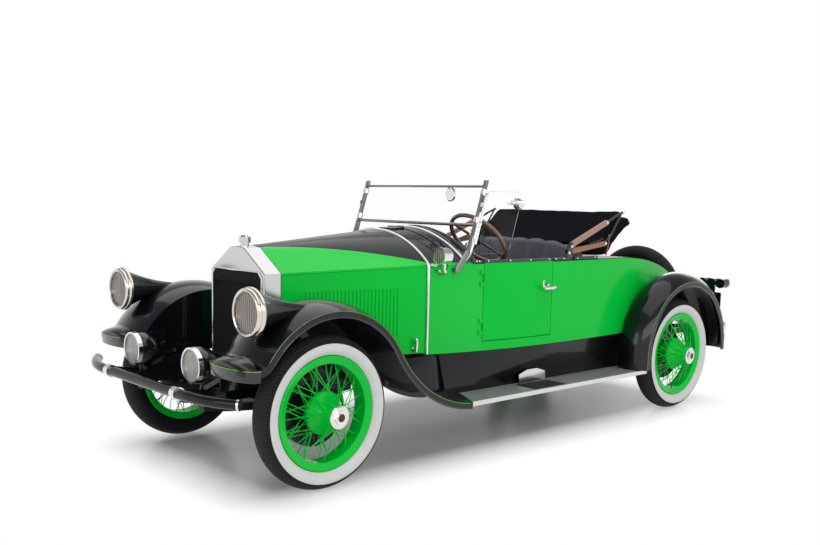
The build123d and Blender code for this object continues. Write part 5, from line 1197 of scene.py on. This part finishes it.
# Soft boxes: name, place, size, watts
SOFT_BOXES = (
    ("overhead", (-0.5, 0.0, 6.5), (13.0, 7.0), 330),
    ("near_side", (3.5, 8.5, 4.5), (9.0, 3.0), 190),
    ("nose", (9.0, 1.0, 3.6), (4.0, 3.0), 70),
    ("tail", (-8.0, -2.0, 3.6), (4.0, 3.0), 70),
)
# Half length and half width of the floor's shaded part, and how far it takes to run out
SHADE_X, SHADE_Y, SHADE_FADE = 1.95, 0.60, 0.42


def wired(tree, kind, settings, inputs):
    """A node in a tree, with its settings, and values or links in its sockets."""
    node = tree.nodes.new(kind)
    for key, value in settings.items():
        setattr(node, key, value)
    for key, value in inputs.items():
        if isinstance(value, bpy.types.NodeSocket):
            tree.links.new(value, node.inputs[key])
        else:
            node.inputs[key].default_value = value
    return node.outputs


def seen_level(tree, unseen):
    """1 for what the eye, a mirror or a pane sees, and less for the light that falls on the car."""
    paths = wired(tree, "ShaderNodeLightPath", {}, {})
    seen = paths["Is Camera Ray"]
    for ray in ("Is Glossy Ray", "Is Transmission Ray"):
        seen = wired(tree, "ShaderNodeMath", {"operation": "MAXIMUM"}, {0: seen, 1: paths[ray]})[0]
    return wired(tree, "ShaderNodeMapRange", {}, {"To Min": unseen, "To Max": 1.0, "Value": seen})[0]


class ROADSTER_OT_stage(bpy.types.Operator):
    """Lay the pale floor, hang the soft boxes and set up the camera"""

    bl_idname = "roadster.stage"
    bl_label = "Studio"

    def execute(self, context):
        scene = context.scene
        scene.view_settings.view_transform = "Standard"
        self.floor(scene.roadster_colours.floor)
        self.world(scene)
        for row in SOFT_BOXES:
            self.soft_box(*row)
        self.camera(scene)
        return {"FINISHED"}

    def floor(self, colour):
        """Pale sheet under the car that runs out into white."""
        bpy.ops.object.select_all(action="DESELECT")
        bpy.ops.mesh.primitive_plane_add(size=60)
        floor = bpy.context.object
        floor.name = "studio_floor"
        finish = Finish("studio_floor", Specular_IOR_Level=0.35)
        cloud = finish.noise(0.8, 2)
        finish.worn(cloud, shade(colour, 0.99), shade(colour, 1.01), 0.22, 0.06)
        x, y, _ = finish.axes()
        ahead, aside = (abs(x) - SHADE_X).above_zero(), (abs(y) - SHADE_Y).above_zero()
        out = (ahead * ahead + aside * aside).root().step(0, SHADE_FADE)
        white = finish.node("ShaderNodeEmission", {}, {"Strength": seen_level(finish.tree, 0.55)})
        both = finish.node("ShaderNodeMixShader", {}, {0: out, 1: finish.shader.outputs[0], 2: white})
        finish.tree.links.new(both.socket, finish.tree.nodes["Material Output"].inputs["Surface"])
        floor.data.materials.append(finish.material)

    def world(self, scene):
        """White round the horizon and dim overhead, and softer as a light."""
        world = scene.world or bpy.data.worlds.new("studio")
        scene.world = world
        world.use_nodes = True
        tree = world.node_tree
        place = wired(tree, "ShaderNodeTexCoord", {}, {})["Generated"]
        height = wired(tree, "ShaderNodeSeparateXYZ", {}, {0: place})["Z"]
        fall = wired(tree, "ShaderNodeMapRange", {}, {
            "From Min": 0.24, "From Max": 0.60, "To Min": 1.0, "To Max": 0.30, "Value": height})[0]
        factors = {0: fall, 1: seen_level(tree, 0.75)}
        level = wired(tree, "ShaderNodeMath", {"operation": "MULTIPLY"}, factors)[0]
        background = tree.nodes["Background"]
        background.inputs["Color"].default_value = (1, 1, 1, 1)
        tree.links.new(level, background.inputs["Strength"])

    def soft_box(self, name, place, size, watts):
        bpy.ops.object.light_add(type="AREA", location=place)
        lamp = bpy.context.object
        lamp.name = f"soft_box_{name}"
        lamp.data.shape = "RECTANGLE"
        lamp.data.size, lamp.data.size_y = size
        lamp.data.energy = watts
        aim = Vector((0, 0, 0.6)) - Vector(place)
        lamp.rotation_euler = aim.to_track_quat("-Z", "Y").to_euler()

    def camera(self, scene):
        yaw, pitch, roll = radians(CAMERA_YAW), radians(CAMERA_PITCH), radians(CAMERA_ROLL)
        ahead = Vector((cos(yaw) * cos(pitch), sin(yaw) * cos(pitch), -sin(pitch)))
        level = ahead.cross(Vector((0, 0, 1))).normalized()
        down = ahead.cross(level)
        right = cos(roll) * level + sin(roll) * down
        up = sin(roll) * level - cos(roll) * down
        bpy.ops.object.camera_add()
        camera = bpy.context.object
        camera.name = "photo_camera"
        turn = Matrix((right, up, -ahead)).transposed().to_4x4()
        camera.matrix_world = Matrix.Translation(CAMERA_PLACE) @ turn
        camera.data.lens = CAMERA_LENS
        camera.data.shift_x, camera.data.shift_y = CAMERA_SHIFT
        scene.camera = camera


class ROADSTER_PT_build(bpy.types.Panel):
    """Lists the steps that dress the roadster"""

    bl_idname = "ROADSTER_PT_build"
    bl_label = "Roadster"
    bl_space_type = "VIEW_3D"
    bl_region_type = "UI"
    bl_category = "Roadster"

    def draw(self, context):
        for step in STEPS:
            self.layout.operator(step.bl_idname)
        for group in (context.scene.roadster_colours, context.scene.roadster_sizes):
            for key in group.__annotations__:
                self.layout.prop(group, key)


STEPS = (
    ROADSTER_OT_finishes,
    ROADSTER_OT_seats,
    ROADSTER_OT_top,
    ROADSTER_OT_coaming,
    ROADSTER_OT_trim,
    ROADSTER_OT_lamps,
    ROADSTER_OT_boards,
    ROADSTER_OT_cockpit,
    ROADSTER_OT_engine,
    ROADSTER_OT_stage,
)
CLASSES = (RoadsterColours, RoadsterSizes, *STEPS, ROADSTER_PT_build)


def register():
    for cls in CLASSES:
        bpy.utils.register_class(cls)
    bpy.types.Scene.roadster_colours = bpy.props.PointerProperty(type=RoadsterColours)
    bpy.types.Scene.roadster_sizes = bpy.props.PointerProperty(type=RoadsterSizes)


def unregister():
    del bpy.types.Scene.roadster_sizes
    del bpy.types.Scene.roadster_colours
    for cls in reversed(CLASSES):
        bpy.utils.unregister_class(cls)


def main():
    register()
    for step in STEPS:
        group, name = step.bl_idname.split(".")
        getattr(getattr(bpy.ops, group), name)()


if __name__ == "__main__":
    main()
